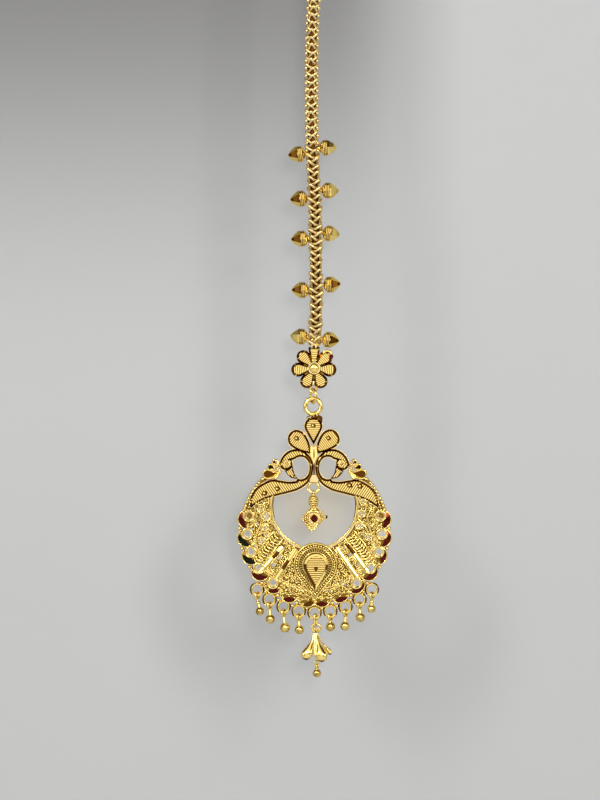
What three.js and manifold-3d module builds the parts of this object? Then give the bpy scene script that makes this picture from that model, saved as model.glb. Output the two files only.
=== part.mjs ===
// Maang tikka: a hair jewel in gold-plated brass. A wire hook carries a foxtail chain with ten acorn beads
// and a seven-petalled flower. A crescent pendant hangs under the flower on a link. It has two peacocks on
// its shoulders, a diamond drop in its opening, and eight ball drops and a bell drop on its scalloped edge.
// Millimetres, +Z up, the front faces -Y. The origin is the inside of the hook's bend, where it hangs.
// The pendant's own points are measured from the centre of its round plate.
import * as THREE from "three";
import { mergeVertices } from "three/addons/utils/BufferGeometryUtils.js";
import Module from "manifold-3d";

const wasm = await Module();
wasm.setup();

// Driving dimensions.
const HOOK = { inner: 2.6, wire: 0.5, shank: -4.6, freeEnd: -6.4, stemTop: -8.4 };
const HOOK_EYE = { x: 0, z: -10.2, r: 0.9, wire: 0.35 };
const CHAIN_R = 1.3;
const BEAD = { neck: 1.62, tip: 4.85, widest: 1.6 };
const FLOWER = { x: 0, z: -107.6, petals: 7, reach: 4.5, petalR: 1.22, front: -0.75, back: -0.05 };
const FLOWER_DOME = 1.1;
const EYE = { x: -0.28, z: -111.66, r: 0.76, wire: 0.22 };
const LINK = { halfWidth: 1.1, wire: 0.3, turn: 28, slack: 0.1 };
const TOP_RING = { x: -0.28, z: 24.74, r: 1.55, wire: 0.45, around: 18, sides: 8 };
const PLATE = { z: -140, r: 14.2, front: -0.4, back: 0.5 };
const VOID = { x: -0.06, z: 4.8, r: 8.3 };
const LOBE = { count: 14, step: 15.5, first: 6.1, orbit: 13.55, r: 1.85 };
const LOBE_RING = { step: 11, orbit: 16.52, r: 1.22, wire: 0.23 };
const EDGE_GRAIN = { orbit: 14.5, r: 0.45, from: 15, to: 46, count: 9 };
const NOTCH_GRAIN = { orbit: 14.72, r: 0.5 };
const GRAIN_Y = -0.1;
const CUT = { front: -3, back: 3 };
const JUNCTION_RING = { x: -0.16, z: 8.48, r: 1.12, wire: 0.22 };
const DROP_LOOP = { r: 0.6, wire: 0.2, stem: 0.24 };
const BELL_X = 0.34;
const DEGREE = Math.PI / 180;

// The chain hangs almost straight: its centre line, from the hook's eye to the flower.
const CHAIN_ROUTE = [
  [0, -11.8],
  [-0.05, -22],
  [-0.12, -34],
  [-0.38, -38],
  [-0.58, -50],
  [-0.48, -62],
  [-0.2, -69.2],
  [0.1, -75.2],
  [0.2, -82],
  [0.34, -94],
  [0.18, -99],
  [0, -102.8],
];

// Side beads in pairs: height of each bead's neck, and how far its tip droops in degrees.
const SIDE_BEADS = [
  { pair: 1, side: "left", z: -64.8, droop: 7 },
  { pair: 1, side: "right", z: -63.8, droop: -5 },
  { pair: 2, side: "left", z: -73.4, droop: 7 },
  { pair: 2, side: "right", z: -72.1, droop: 0 },
  { pair: 3, side: "left", z: -81.5, droop: 5 },
  { pair: 3, side: "right", z: -80.3, droop: 8 },
  { pair: 4, side: "left", z: -92, droop: 0 },
  { pair: 4, side: "right", z: -91.1, droop: -4 },
  { pair: 5, side: "left", z: -101.5, droop: -4 },
  { pair: 5, side: "right", z: -101.6, droop: 7 },
];

// Ball drops, left to right: the edge ring each hangs on, counted from the middle, and its length and ball.
const BALL_DROPS = [
  { ring: -4, lean: 0.55, length: 4.35, ball: 0.85 },
  { ring: -3, lean: 0.15, length: 3.95, ball: 0.92 },
  { ring: -2, lean: 0.3, length: 4.2, ball: 0.98 },
  { ring: -1, lean: 0.1, length: 3.7, ball: 0.92 },
  { ring: 1, lean: 0.05, length: 3.1, ball: 0.95 },
  { ring: 2, lean: -0.1, length: 3.9, ball: 0.92 },
  { ring: 3, lean: 0.15, length: 3.6, ball: 0.92 },
  { ring: 4, lean: -0.1, length: 3.85, ball: 0.82 },
];

// ---- Making and joining solids ----

function solid(geometry) {
  const plain = geometry.clone();
  plain.deleteAttribute("normal");
  plain.deleteAttribute("uv");
  const merged = mergeVertices(plain, 1e-4);
  return new wasm.Manifold(
    new wasm.Mesh({
      numProp: 3,
      vertProperties: merged.attributes.position.array,
      triVerts: new Uint32Array(merged.index.array),
    }),
  );
}

const join = (solids) => solids.reduce((all, next) => all.add(next));

function geometryOf(made) {
  const mesh = made.getMesh();
  const geometry = new THREE.BufferGeometry();
  geometry.setAttribute("position", new THREE.BufferAttribute(mesh.vertProperties, 3));
  geometry.setIndex(new THREE.BufferAttribute(mesh.triVerts, 1));
  geometry.computeVertexNormals();
  return geometry;
}

// A flat outline in X and Z, made into a plate between two depths, where front is the lower Y.
// An arc takes twice as many steps as segments.
function plate(shape, front, back, segments = 6) {
  const options = { depth: back - front, bevelEnabled: false, curveSegments: segments };
  const geometry = new THREE.ExtrudeGeometry(shape, options);
  return solid(geometry.rotateX(Math.PI / 2).translate(0, back, 0));
}

// A hole right through everything.
function cutter(shape, segments) {
  return plate(shape, CUT.front, CUT.back, segments);
}

// A wire ring that faces the front, stretched upright by straight sides, and turned about Z.
function ring({ x, z, r, wire, straight = 0, turn = 0, around = 12, sides = 6 }) {
  const geometry = new THREE.TorusGeometry(r, wire, sides, around).rotateX(Math.PI / 2);
  const position = geometry.attributes.position;
  for (let i = 0; i < position.count; i++) {
    const height = position.getZ(i);
    if (Math.abs(height) > 1e-3) position.setZ(i, height + (Math.sign(height) * straight) / 2);
  }
  return solid(geometry.rotateZ(turn * DEGREE).translate(x, 0, z));
}

// A round wire along points of X and Z.
function wireAlong(points, radius, steps, sides = 8) {
  const path = new THREE.CatmullRomCurve3(points.map(([x, z]) => new THREE.Vector3(x, 0, z)));
  const section = new THREE.Shape();
  for (let side = 0; side < sides; side++) {
    const angle = (side * 2 * Math.PI) / sides;
    const point = [radius * Math.cos(angle), radius * Math.sin(angle)];
    if (side) section.lineTo(...point);
    else section.moveTo(...point);
  }
  return solid(new THREE.ExtrudeGeometry(section, { steps, extrudePath: path, bevelEnabled: false }));
}

// A turned solid about the upright axis through x, from rows of radius and height.
function turned(profile, x, sides = 16) {
  const geometry = new THREE.LatheGeometry(profile.map(([r, z]) => new THREE.Vector2(r, z)), sides);
  return solid(geometry.rotateX(Math.PI / 2).translate(x, 0, 0));
}

function ball(x, z, r) {
  return solid(new THREE.SphereGeometry(r, 10, 6).translate(x, 0, z));
}

// A soldered grain on the plate's edge, at an angle in degrees from +X.
function grain({ orbit, r }, degrees) {
  const x = orbit * Math.cos(degrees * DEGREE);
  const z = orbit * Math.sin(degrees * DEGREE);
  return solid(new THREE.SphereGeometry(r, 6, 4).translate(x, GRAIN_Y, z));
}

function disc(x, z, r) {
  return new THREE.Shape().absarc(x, z, r, 0, 2 * Math.PI, false);
}

function ellipse(x, z, halfWidth, halfHeight) {
  return new THREE.Shape().absellipse(x, z, halfWidth, halfHeight, 0, 2 * Math.PI, false, 0);
}

// A round end that tapers straight to a point.
function teardrop(x, z, r, tipX, tipZ) {
  const towards = Math.atan2(tipZ - z, tipX - x);
  const open = Math.acos(r / Math.hypot(tipX - x, tipZ - z));
  const shape = new THREE.Shape();
  shape.moveTo(tipX, tipZ);
  shape.lineTo(x + r * Math.cos(towards + open), z + r * Math.sin(towards + open));
  shape.absarc(x, z, r, towards + open, towards - open + 2 * Math.PI, false);
  return shape;
}

// A straight-sided outline, from points measured from its middle.
function outline(points, middleX = 0, middleZ = 0) {
  return new THREE.Shape(points.map(([x, z]) => new THREE.Vector2(middleX + x, middleZ + z)));
}

// A smooth closed outline through its points.
function smoothOutline(points, divisions = 34) {
  const corners = points.map(([x, z]) => new THREE.Vector3(x, z, 0));
  const curve = new THREE.CatmullRomCurve3(corners, true, "centripetal");
  const steps = curve.getPoints(divisions).slice(0, -1);
  return new THREE.Shape(steps.map((point) => new THREE.Vector2(point.x, point.y)));
}

function bar(x1, z1, x2, z2, width, front, back) {
  const length = Math.hypot(x2 - x1, z2 - z1);
  const geometry = new THREE.BoxGeometry(length, back - front, width);
  geometry.rotateY(-Math.atan2(z2 - z1, x2 - x1));
  return solid(geometry.translate((x1 + x2) / 2, (front + back) / 2, (z1 + z2) / 2));
}

const mirrored = (made) => made.mirror([1, 0, 0]);

// ---- Materials ----

const gold = (color, roughness) => new THREE.MeshStandardMaterial({ color, roughness, metalness: 1 });
const finishes = {
  wire: () => gold(0xd9b45c, 0.3),
  chain: () => gold(0xcfa64a, 0.35),
  bead: () => gold(0xe3c46a, 0.18),
  engraved: () => gold(0xcda35c, 0.42),
  filigree: () => gold(0xd8b457, 0.38),
};

const tikka = new THREE.Group();
const pendant = new THREE.Group();
pendant.position.z = PLATE.z;
tikka.add(pendant);

function place(group, name, made, material) {
  const mesh = new THREE.Mesh(geometryOf(made), material);
  mesh.name = name;
  group.add(mesh);
}

// ---- Hook, chain and beads ----

function hairHook() {
  const { inner, wire, shank, freeEnd, stemTop } = HOOK;
  const bend = inner + wire;
  const points = [[-bend, freeEnd], [-bend, (freeEnd - inner) / 2]];
  for (let step = 0; step <= 8; step++) {
    const angle = Math.PI * (1 - step / 8);
    points.push([bend * Math.cos(angle), bend * Math.sin(angle) - inner]);
  }
  points.push([bend, shank], [bend * 0.75, shank - 1.7], [bend * 0.2, stemTop + 0.7], [0, stemTop]);
  points.push([0, HOOK_EYE.z + HOOK_EYE.r]);
  return join([wireAlong(points, wire, 34, 7), ring(HOOK_EYE)]);
}

const chainCurve = new THREE.CatmullRomCurve3(CHAIN_ROUTE.map(([x, z]) => new THREE.Vector3(x, 0, z)));

function chainXAt(z) {
  const points = chainCurve.getSpacedPoints(200);
  return points.reduce((best, p) => (Math.abs(p.z - z) < Math.abs(best.z - z) ? p : best)).x;
}

function acornBead({ side, z, droop }) {
  const { neck, tip, widest } = BEAD;
  const profile = [
    [0, neck],
    [0.36, neck],
    [0.42, neck + 0.25],
    [0.85, neck + 0.34],
    [1.32, neck + 0.7],
    [widest, neck + 1.2],
    [widest * 0.95, neck + 1.7],
    [widest * 0.72, neck + 2.25],
    [widest * 0.38, neck + 2.8],
    [0, tip],
  ];
  const geometry = new THREE.LatheGeometry(profile.map(([r, along]) => new THREE.Vector2(r, along)), 10);
  const turn = side === "left" ? 1 : -1;
  geometry.rotateZ(turn * (90 + droop) * DEGREE).rotateX(Math.PI / 2);
  return solid(geometry.translate(chainXAt(z), 0, z));
}

// ---- Flower and link ----

function flower() {
  const { x, z, petals, reach, petalR, front, back } = FLOWER;
  const shapes = [disc(x, z, reach * 0.45)];
  for (let petal = 1; petal < petals; petal++) {
    const angle = Math.PI / 2 + (petal * 2 * Math.PI) / petals;
    const centre = reach - petalR;
    shapes.push(teardrop(x + centre * Math.cos(angle), z + centre * Math.sin(angle), petalR, x, z));
  }
  const topPetal = [[-0.8, 0.5], [0.8, 0.5], [1.1, 4.1], [0.8, 4.2], [-0.8, 4.2], [-1.1, 4.1]];
  shapes.push(outline(topPetal, x, z));
  const dome = new THREE.SphereGeometry(FLOWER_DOME, 12, 6).scale(1, 0.55, 1).translate(x, front - 0.05, z);
  const bracket = outline([[-0.9, -2.9], [0.4, -2.9], [0.3, -3.55], [-0.85, -3.55]], x, z);
  const plates = shapes.map((shape) => plate(shape, front, back));
  return join([...plates, solid(dome), plate(bracket, -0.3, 0.2), ring(EYE)]);
}

// The link between the eye under the flower and the pendant's ring.
// Its two ends are centred on the pivots' wires.
function pendantLink() {
  const { halfWidth, wire, turn, slack } = LINK;
  const top = EYE.z - EYE.r + EYE.wire + wire + slack;
  const bottom = PLATE.z + TOP_RING.z + TOP_RING.r - TOP_RING.wire - wire - slack;
  const straight = top - bottom - 2 * halfWidth;
  return ring({ x: EYE.x, z: (top + bottom) / 2, r: halfWidth, wire, straight, turn: 90 + turn });
}

// ---- Pendant ----

function crescent() {
  const horns = outline([[-9.9, 10.4], [-7, 7.8], [7, 7.8], [9.9, 10.4], [14.5, 16], [-14.5, 16]]);
  const disk = plate(disc(0, 0, PLATE.r), PLATE.front, PLATE.back, 24);
  const hollow = cutter(disc(VOID.x, VOID.z, VOID.r), 20);
  const holes = [
    { x: 9.56, z: 2.8, r: 0.6 },
    { x: 9.24, z: 0.5, r: 0.5 },
    { x: 10.62, z: -2.1, r: 0.65 },
  ].flatMap(({ x, z, r }) => [-x, x].map((holeX) => cutter(disc(holeX, z, r), 4)));
  return disk.subtract(join([hollow, cutter(horns), ...holes]));
}

// Round dishes along the edge with a grain in each notch, and the row of grains up to the peacocks' tails.
function scallopedEdge() {
  const made = [grain(NOTCH_GRAIN, -90)];
  for (let i = 0; i < LOBE.count / 2; i++) {
    const along = LOBE.first + i * LOBE.step;
    for (const side of [-1, 1]) {
      const angle = (-90 + side * along) * DEGREE;
      const dish = disc(LOBE.orbit * Math.cos(angle), LOBE.orbit * Math.sin(angle), LOBE.r);
      made.push(plate(dish, -0.7, 0.45, 7));
      if (i) made.push(grain(NOTCH_GRAIN, -90 + side * (along - LOBE.step / 2)));
    }
  }
  const pitch = (EDGE_GRAIN.to - EDGE_GRAIN.from) / (EDGE_GRAIN.count - 1);
  for (let i = 0; i < EDGE_GRAIN.count; i++) {
    const along = EDGE_GRAIN.from + i * pitch;
    made.push(grain(EDGE_GRAIN, along), grain(EDGE_GRAIN, 180 - along));
  }
  return made;
}

function edgeRingCentre(index) {
  const angle = (-90 + index * LOBE_RING.step) * DEGREE;
  return { x: LOBE_RING.orbit * Math.cos(angle), z: LOBE_RING.orbit * Math.sin(angle) };
}

function edgeRings() {
  const made = [];
  for (let index = -4; index <= 4; index++) {
    made.push(ring({ ...edgeRingCentre(index), r: LOBE_RING.r, wire: LOBE_RING.wire, sides: 5 }));
  }
  return made;
}

// The left peacock: a neck arched over a round opening to a curled head, and a tail along the shoulder.
function peacock() {
  const front = -0.85;
  const back = 0.4;
  const neck = plate(ellipse(-3.6, 12.5, 3.5, 3.74), front, back, 16);
  const opening = cutter(ellipse(-2.76, 12.3, 1.7, 2.2), 12);
  const underHead = [[-8, 12.4], [-4.2, 12.4], [-3.2, 10.4], [-2.6, 10.1], [-2.6, 7], [-8, 7]];
  const head = plate(disc(-5.75, 13.3, 1.42), front, back, 8);
  const beak = [[-5.4, 12.4], [-4.3, 12.9], [-3.9, 11.7], [-3.35, 10.45], [-4.5, 11.2]];
  const tail = smoothOutline([
    [-0.25, 11.4],
    [-1.6, 10.0],
    [-3.6, 9.85],
    [-6, 9.85],
    [-8.7, 10.15],
    [-10.8, 9.15],
    [-12.0, 7.6],
    [-12.7, 5.2],
    [-11.9, 4.95],
    [-9.8, 6.2],
    [-6.3, 7.1],
    [-3.5, 7.9],
    [-1.5, 9.05],
    [-0.1, 10.9],
  ]);
  const arch = neck.subtract(opening).subtract(cutter(outline(underHead)));
  return [arch, head, plate(outline(beak), front, back), plate(tail, front + 0.05, back - 0.03)];
}

// Three leaves behind the head, joined to it by a stalk.
function comb() {
  const roots = [
    [-8.05, 13.6],
    [-8.85, 12.55],
    [-9.6, 11.3],
  ];
  const leaves = roots.map(([x, z]) => plate(teardrop(x, z, 0.72, -6.5, 12.3), -0.7, 0.3, 4));
  return [...leaves, bar(-7.3, 12.2, -8.4, 9.9, 0.8, -0.5, 0.25)];
}

function crest() {
  const middle = plate(teardrop(-0.2, 20.75, 1.83, -0.18, 17.0), -0.9, 0.45, 8);
  const seat = outline([
    [-1.6, 20.9],
    [-1.55, 22.5],
    [-0.9, 22.25],
    [-0.8, 22.85],
    [0.3, 22.85],
    [0.5, 22.25],
    [1.2, 22.5],
    [1.3, 20.9],
  ]);
  const leftPetal = plate(teardrop(-3.75, 18.55, 1.7, -0.75, 15.3), -0.8, 0.4, 8);
  const rightPetal = plate(teardrop(3.35, 18.5, 1.7, 0.45, 15.3), -0.8, 0.4, 8);
  const wedge = outline([
    [-1.9, 17.6],
    [-0.9, 17.2],
    [0.6, 17.2],
    [1.7, 17.6],
    [0.7, 14.6],
    [0.15, 9.2],
    [-0.45, 9.2],
    [-0.95, 14.6],
  ]);
  const petals = [middle, leftPetal, rightPetal];
  return [...petals, plate(seat, -0.6, 0.35), plate(wedge, -0.6, 0.42), ring(TOP_RING)];
}

function boss() {
  const outer = plate(teardrop(0.19, -6.9, 4.4, 0.16, -13.8), -1.0, 0.3, 14);
  const step = plate(teardrop(0.19, -6.9, 3.2, 0.16, -12.0), -1.35, 0.2, 12);
  const table = plate(teardrop(0.25, -7.1, 2.15, 0.2, -11.2), -1.6, 0.2, 10);
  return [outer, step, table];
}

function bars() {
  return [
    bar(-3.75, -3.8, -7.9, -10, 0.85, -0.9, 0.4),
    bar(4.4, -3.6, 8.56, -9.4, 0.85, -0.9, 0.4),
    bar(-6.3, -3.3, -11.1, -8.6, 0.85, -0.88, 0.4),
    bar(6.4, -2.9, 10.7, -8.4, 0.85, -0.88, 0.4),
  ];
}

function pendantSolid() {
  const bird = join(peacock());
  const leaves = join(comb());
  return join([
    crescent(),
    ...scallopedEdge(),
    ...edgeRings(),
    bird,
    mirrored(bird).translate([-0.1, 0, 0]),
    leaves,
    mirrored(leaves).translate([-0.1, 0, 0]),
    ...crest(),
    ...boss(),
    ...bars(),
    ring(JUNCTION_RING),
  ]);
}

// ---- Drops ----

function diamondDrop() {
  const loopZ = JUNCTION_RING.z - JUNCTION_RING.r;
  const loop = ring({ x: JUNCTION_RING.x, z: loopZ, r: 0.56, wire: 0.17, turn: 90, around: 12, sides: 5 });
  const cap = ball(-0.24, 6.1, 0.78);
  const face = outline([[-0.2, 4.3], [1.25, 2.5], [-0.5, 0.7], [-1.5, 2.35]]);
  const cut = { depth: 0.3, bevelThickness: 0.6, bevelSize: 0.85, bevelSegments: 1 };
  const body = new THREE.ExtrudeGeometry(face, cut).rotateX(Math.PI / 2).translate(0, 0.15, 0);
  const facet = bar(1.9, 2.5, 2.6, 2.55, 0.7, -0.45, 0.35);
  return join([loop, cap, solid(body), facet]);
}

// A wire loop through its edge ring, a stem and a ball.
function ballDrop({ ring: index, lean, length, ball: r }) {
  const { x, z } = edgeRingCentre(index);
  const loopZ = z - LOBE_RING.r;
  const loop = ring({ x, z: loopZ, r: DROP_LOOP.r, wire: DROP_LOOP.wire, turn: 90, around: 10, sides: 5 });
  const stem = wireAlong([[x, loopZ - DROP_LOOP.r], [x + lean, z - length]], DROP_LOOP.stem, 1, 6);
  return join([loop, stem, ball(x + lean, z - length, r)]);
}

function bellLink() {
  return ring({ x: 0.15, z: -17.95, r: 0.55, wire: 0.17, straight: 1.25, turn: 90, around: 16, sides: 6 });
}

// The bell-shaped blossom: a ring, an open bell, and the stalk inside it that ends in a ring for the ball.
function bell() {
  const hanger = ring({ x: BELL_X, z: -19.55, r: 0.82, wire: 0.18, sides: 6 });
  const inside = [[0, -21.9], [0.6, -22.3], [1.3, -23.8], [2.2, -25.3], [2.45, -25.9]];
  const outside = [[2.85, -25.9], [2.6, -25.2], [1.65, -23.5], [0.9, -21.9], [0.55, -20.6], [0, -20.3]];
  const cup = turned([...inside, ...outside], BELL_X, 12);
  const stalk = wireAlong([[BELL_X, -21], [BELL_X + 0.1, -26.35]], 0.18, 2, 6);
  const lowRing = ring({ x: BELL_X + 0.1, z: -26.75, r: 0.5, wire: 0.15, around: 14, sides: 6 });
  return join([hanger, cup, stalk, lowRing]);
}

function bellBall() {
  const x = BELL_X + 0.1;
  const loop = ring({ x, z: -27.25, r: 0.43, wire: 0.12, turn: 90, around: 12, sides: 6 });
  const collar = turned([[0, -28], [0.4, -28], [0.4, -27.65], [0, -27.65]], x, 10);
  return join([loop, ball(x + 0.03, -28.6, 0.84), collar]);
}

// ---- The assembly ----

place(tikka, "hair_hook", hairHook(), finishes.wire());
place(tikka, "chain", wireAlong(CHAIN_ROUTE, CHAIN_R, 34), finishes.chain());
for (const bead of SIDE_BEADS) {
  place(tikka, `side_bead_${bead.pair}_${bead.side}`, acornBead(bead), finishes.bead());
}
place(tikka, "flower", flower(), finishes.engraved());
place(tikka, "pendant_link", pendantLink(), finishes.wire());
place(pendant, "pendant", pendantSolid(), finishes.filigree());
place(pendant, "diamond_drop", diamondDrop(), finishes.bead());
BALL_DROPS.forEach((drop, i) => place(pendant, `ball_drop_${i + 1}`, ballDrop(drop), finishes.bead()));
place(pendant, "bell_link", bellLink(), finishes.wire());
place(pendant, "bell", bell(), finishes.bead());
place(pendant, "bell_ball", bellBall(), finishes.bead());

export default tikka;
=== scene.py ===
"""Maang tikka: the finished look of each piece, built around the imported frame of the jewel.

Lengths in the code are millimetres and become metres when a piece is finished. The pendant's own points
are measured from the centre of its round plate. The front faces -Y and lower Y is nearer the front.
"""

import random
from math import acos, atan2, copysign, cos, degrees, dist, hypot, pi, radians, sin, sqrt

import bpy
from bpy.props import FloatProperty, FloatVectorProperty, IntProperty, PointerProperty
from bpy.types import Operator, Panel, PropertyGroup
from mathutils import Matrix, Vector
from mathutils.geometry import tessellate_polygon


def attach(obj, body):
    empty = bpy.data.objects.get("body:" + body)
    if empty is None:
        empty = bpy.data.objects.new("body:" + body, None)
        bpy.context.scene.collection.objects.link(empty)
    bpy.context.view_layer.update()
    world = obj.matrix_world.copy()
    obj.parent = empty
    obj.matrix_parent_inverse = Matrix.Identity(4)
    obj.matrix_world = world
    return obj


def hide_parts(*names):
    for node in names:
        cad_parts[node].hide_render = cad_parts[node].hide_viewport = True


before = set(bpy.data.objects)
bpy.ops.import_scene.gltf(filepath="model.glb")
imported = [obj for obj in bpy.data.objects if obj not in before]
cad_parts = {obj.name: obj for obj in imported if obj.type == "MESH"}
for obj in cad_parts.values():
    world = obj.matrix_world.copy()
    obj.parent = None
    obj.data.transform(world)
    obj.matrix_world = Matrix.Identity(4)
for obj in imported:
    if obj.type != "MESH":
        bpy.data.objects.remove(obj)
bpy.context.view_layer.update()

bl_info = {
    "name": "Maang Tikka Workshop",
    "version": (1, 0, 0),
    "blender": (4, 5, 0),
    "location": "View3D > Sidebar > Tikka",
    "description": "Builds a peacock maang tikka in gold-plated filigree, piece by piece",
    "category": "Add Mesh",
}

MM = 0.001
PLATE_CENTRE = (0.0, 0.0, -140.0)
SIDES = (-1, 1)
SIDE_NAMES = {-1: "left", 1: "right"}
# The two sides of the pendant mirror each other about this upright line.
MIRROR_X = -0.05

# ---- Sizes and colours that a user would change ----


def length_of(name, description, millimetres):
    length = millimetres * MM
    return FloatProperty(name=name, description=description, default=length, unit="LENGTH", precision=5)


def share_of(name, description, share):
    return FloatProperty(name=name, description=description, default=share, min=0, max=1, subtype="FACTOR")


def colour_of(name, description, rgb):
    return FloatVectorProperty(name=name, description=description, subtype="COLOR", default=rgb, min=0, max=1)


class TikkaMetal(PropertyGroup):
    """Colours and polish of the gold plate, and of the dark polished cuts, whose colours are painted shade
    and dark reflections.
    """

    bright: colour_of("Bright gold", "Polished beads, rings and balls", (0.87, 0.665, 0.215))
    filigree: colour_of("Filigree gold", "Wires, grains and ridges of the plate", (0.78, 0.595, 0.19))
    satin: colour_of("Satin gold", "Engraved faces of birds and petals", (0.92, 0.7, 0.25))
    # The groove colour is painted shade on the floor of the engraved lines.
    groove: colour_of("Groove gold", "Floor of the engraved lines", (0.2, 0.105, 0.014))
    chain: colour_of("Chain gold", "Foxtail links", (1.0, 0.8, 0.27))
    # The bed colour is painted shade: a dark plate standing for the shadows between the wires.
    bed: colour_of("Bed gold", "Plate under the wires", (0.22, 0.125, 0.018))
    # The cut colours are painted dark reflections and painted shade on polished facets; maroon and
    # green-black carry a red and a green cast.
    maroon: colour_of("Maroon cut", "Polished crescents with a red cast", (0.11, 0.014, 0.01))
    green: colour_of("Green-black cut", "Polished crescents with a green cast", (0.018, 0.018, 0.009))
    umber: colour_of("Umber cut", "Polished bevels along outlines", (0.14, 0.053, 0.007))
    # The core colour is painted shade: a dark wire inside the chain, and dark stretches on the bars.
    core: colour_of("Core", "Painted shade inside the chain", (0.07, 0.026, 0.003))
    polish: share_of("Polish", "Roughness of the brightest parts", 0.11)
    satin_roughness: share_of("Satin", "Roughness of the engraved faces", 0.42)


class TikkaChain(PropertyGroup):
    """The foxtail chain and its beads."""

    pitch: length_of("Link pitch", "Distance from one link to the next", 0.75)
    reach: length_of("Link reach", "Half width of a link across its long side", 1.16)
    waist: length_of("Link waist", "Half width of a link across its short side", 0.56)
    fold: length_of("Link fold", "Rise of a link from its waist to its ends", 0.85)
    wire: length_of("Link wire", "Radius of the link's wire", 0.27)
    flats: IntProperty(name="Bead flats", description="Flats around a bead's tip", default=6, min=3, max=12)


class TikkaPlate(PropertyGroup):
    """The engraving and filigree of the flower and the pendant."""

    hatch: length_of("Hatch pitch", "Distance between engraved lines", 0.42)
    bevel: length_of("Bevel", "Width of the dark cut along an outline", 0.46)
    thread: length_of("Thread", "Radius of the filigree wire", 0.15)
    seed: IntProperty(name="Seed", description="Arrangement of the fine filigree", default=7)


class TikkaStage(PropertyGroup):
    """Camera, lights and the surfaces behind and below."""

    distance: FloatProperty(name="Distance", description="Camera to jewel", default=0.6, unit="LENGTH")
    view_height: length_of("View height", "Height of what the camera sees", 160)
    centre_x: length_of("View centre X", "Middle of the view, sideways", -2.9)
    centre_z: length_of("View centre Z", "Middle of the view, upwards", -114)
    wall_gap: length_of("Wall gap", "Distance from the jewel to the wall", 42)
    floor_drop: length_of("Floor drop", "Depth of the floor under the origin", 222)
    key: FloatProperty(name="Key", description="Power of the lamp on the paper", default=0.8, unit="POWER")
    softbox: FloatProperty(name="Softbox", description="Power of the softbox", default=0.9, unit="POWER")


# ---- Paths and outlines: lists of (x, z) in the front plane ----


def polar(x, z, r, direction):
    """The point of a circle at a direction in degrees."""
    angle = radians(direction)
    return x + r * cos(angle), z + r * sin(angle)


def polar_y(x, z, r, direction, y):
    """The same point at a depth, as (x, y, z)."""
    px, pz = polar(x, z, r, direction)
    return px, y, pz


def arc(x, z, r, start, end, steps=12):
    """Points on an arc, both ends included, from start to end in degrees."""
    return [polar(x, z, r, start + (end - start) * i / steps) for i in range(steps + 1)]


def oval(x, z, half_width, half_height, start, end, steps=16):
    points = []
    for i in range(steps + 1):
        angle = radians(start + (end - start) * i / steps)
        points.append((x + half_width * cos(angle), z + half_height * sin(angle)))
    return points


def circle(x, z, r, steps=24):
    return arc(x, z, r, 0, 360, steps)[:-1]


def teardrop(x, z, r, tip_x, tip_z, steps=24):
    """A round end that tapers straight to a point."""
    towards = degrees(atan2(tip_z - z, tip_x - x))
    opening = degrees(acos(r / hypot(tip_x - x, tip_z - z)))
    return [(tip_x, tip_z), *arc(x, z, r, towards + opening, towards - opening + 360, steps)]


def span_point(knots, span, t):
    """A point in one span of the smooth curve through some knots."""
    last = len(knots) - 1
    a, b, c, d = (knots[min(max(span + i, 0), last)] for i in (-1, 0, 1, 2))
    slope, bend, twist = c - a, 2 * a - 5 * b + 4 * c - d, 3 * b - a - 3 * c + d
    return 0.5 * (2 * b + slope * t + bend * t**2 + twist * t**3)


def catmull(points, steps):
    """A smooth curve through points of any dimension, with a number of steps in each span."""
    knots = [Vector(p) for p in points]
    spans = range(len(knots) - 1)
    curve = [span_point(knots, span, step / steps) for span in spans for step in range(steps)]
    return [tuple(p) for p in curve + knots[-1:]]


def area_of(outline):
    pairs = zip(outline, outline[1:] + outline[:1])
    return sum(a[0] * b[1] - b[0] * a[1] for a, b in pairs) / 2


def anticlockwise(outline):
    """The outline without doubled points, turning anticlockwise."""
    kept = [p for i, p in enumerate(outline) if dist(p, outline[i - 1]) > 1e-4]
    return kept if area_of(kept) > 0 else kept[::-1]


def mirrored(outline):
    return [(2 * MIRROR_X - x, z) for x, z in outline]


def thickness_at(outline, i, inward):
    """How far it is from a corner of an outline, inward, to the opposite side."""
    px, pz = outline[i]
    nearest = 99.0
    count = len(outline)
    for j in range(count):
        k = (j + 1) % count
        if i in (j, k):
            continue
        ax, az = outline[j]
        bx, bz = outline[k]
        ex, ez = bx - ax, bz - az
        cross = inward[0] * ez - inward[1] * ex
        if abs(cross) < 1e-9:
            continue
        along = ((ax - px) * ez - (az - pz) * ex) / cross
        across = ((ax - px) * inward[1] - (az - pz) * inward[0]) / cross
        if along > 1e-6 and 0 <= across <= 1:
            nearest = min(nearest, along)
    return nearest


def inset(outline, distance):
    """The outline moved inward, less where it is thin."""
    count = len(outline)
    moved = []
    for i in range(count):
        px, pz = outline[i]
        before = Vector(outline[i]) - Vector(outline[i - 1])
        after = Vector(outline[(i + 1) % count]) - Vector(outline[i])
        normal = before.normalized() + after.normalized()
        normal = Vector((-normal.y, normal.x))
        if normal.length < 1e-6:
            normal = Vector((-after.y, after.x))
        normal.normalize()
        edge = Vector((-after.y, after.x)).normalized()
        mitre = min(1 / max(normal.dot(edge), 0.3), 2.2)
        step = min(distance * mitre, 0.42 * thickness_at(outline, i, normal))
        moved.append((px + normal.x * step, pz + normal.y * step))
    return moved


# ---- The bench: metal gathered for one piece ----


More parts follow.
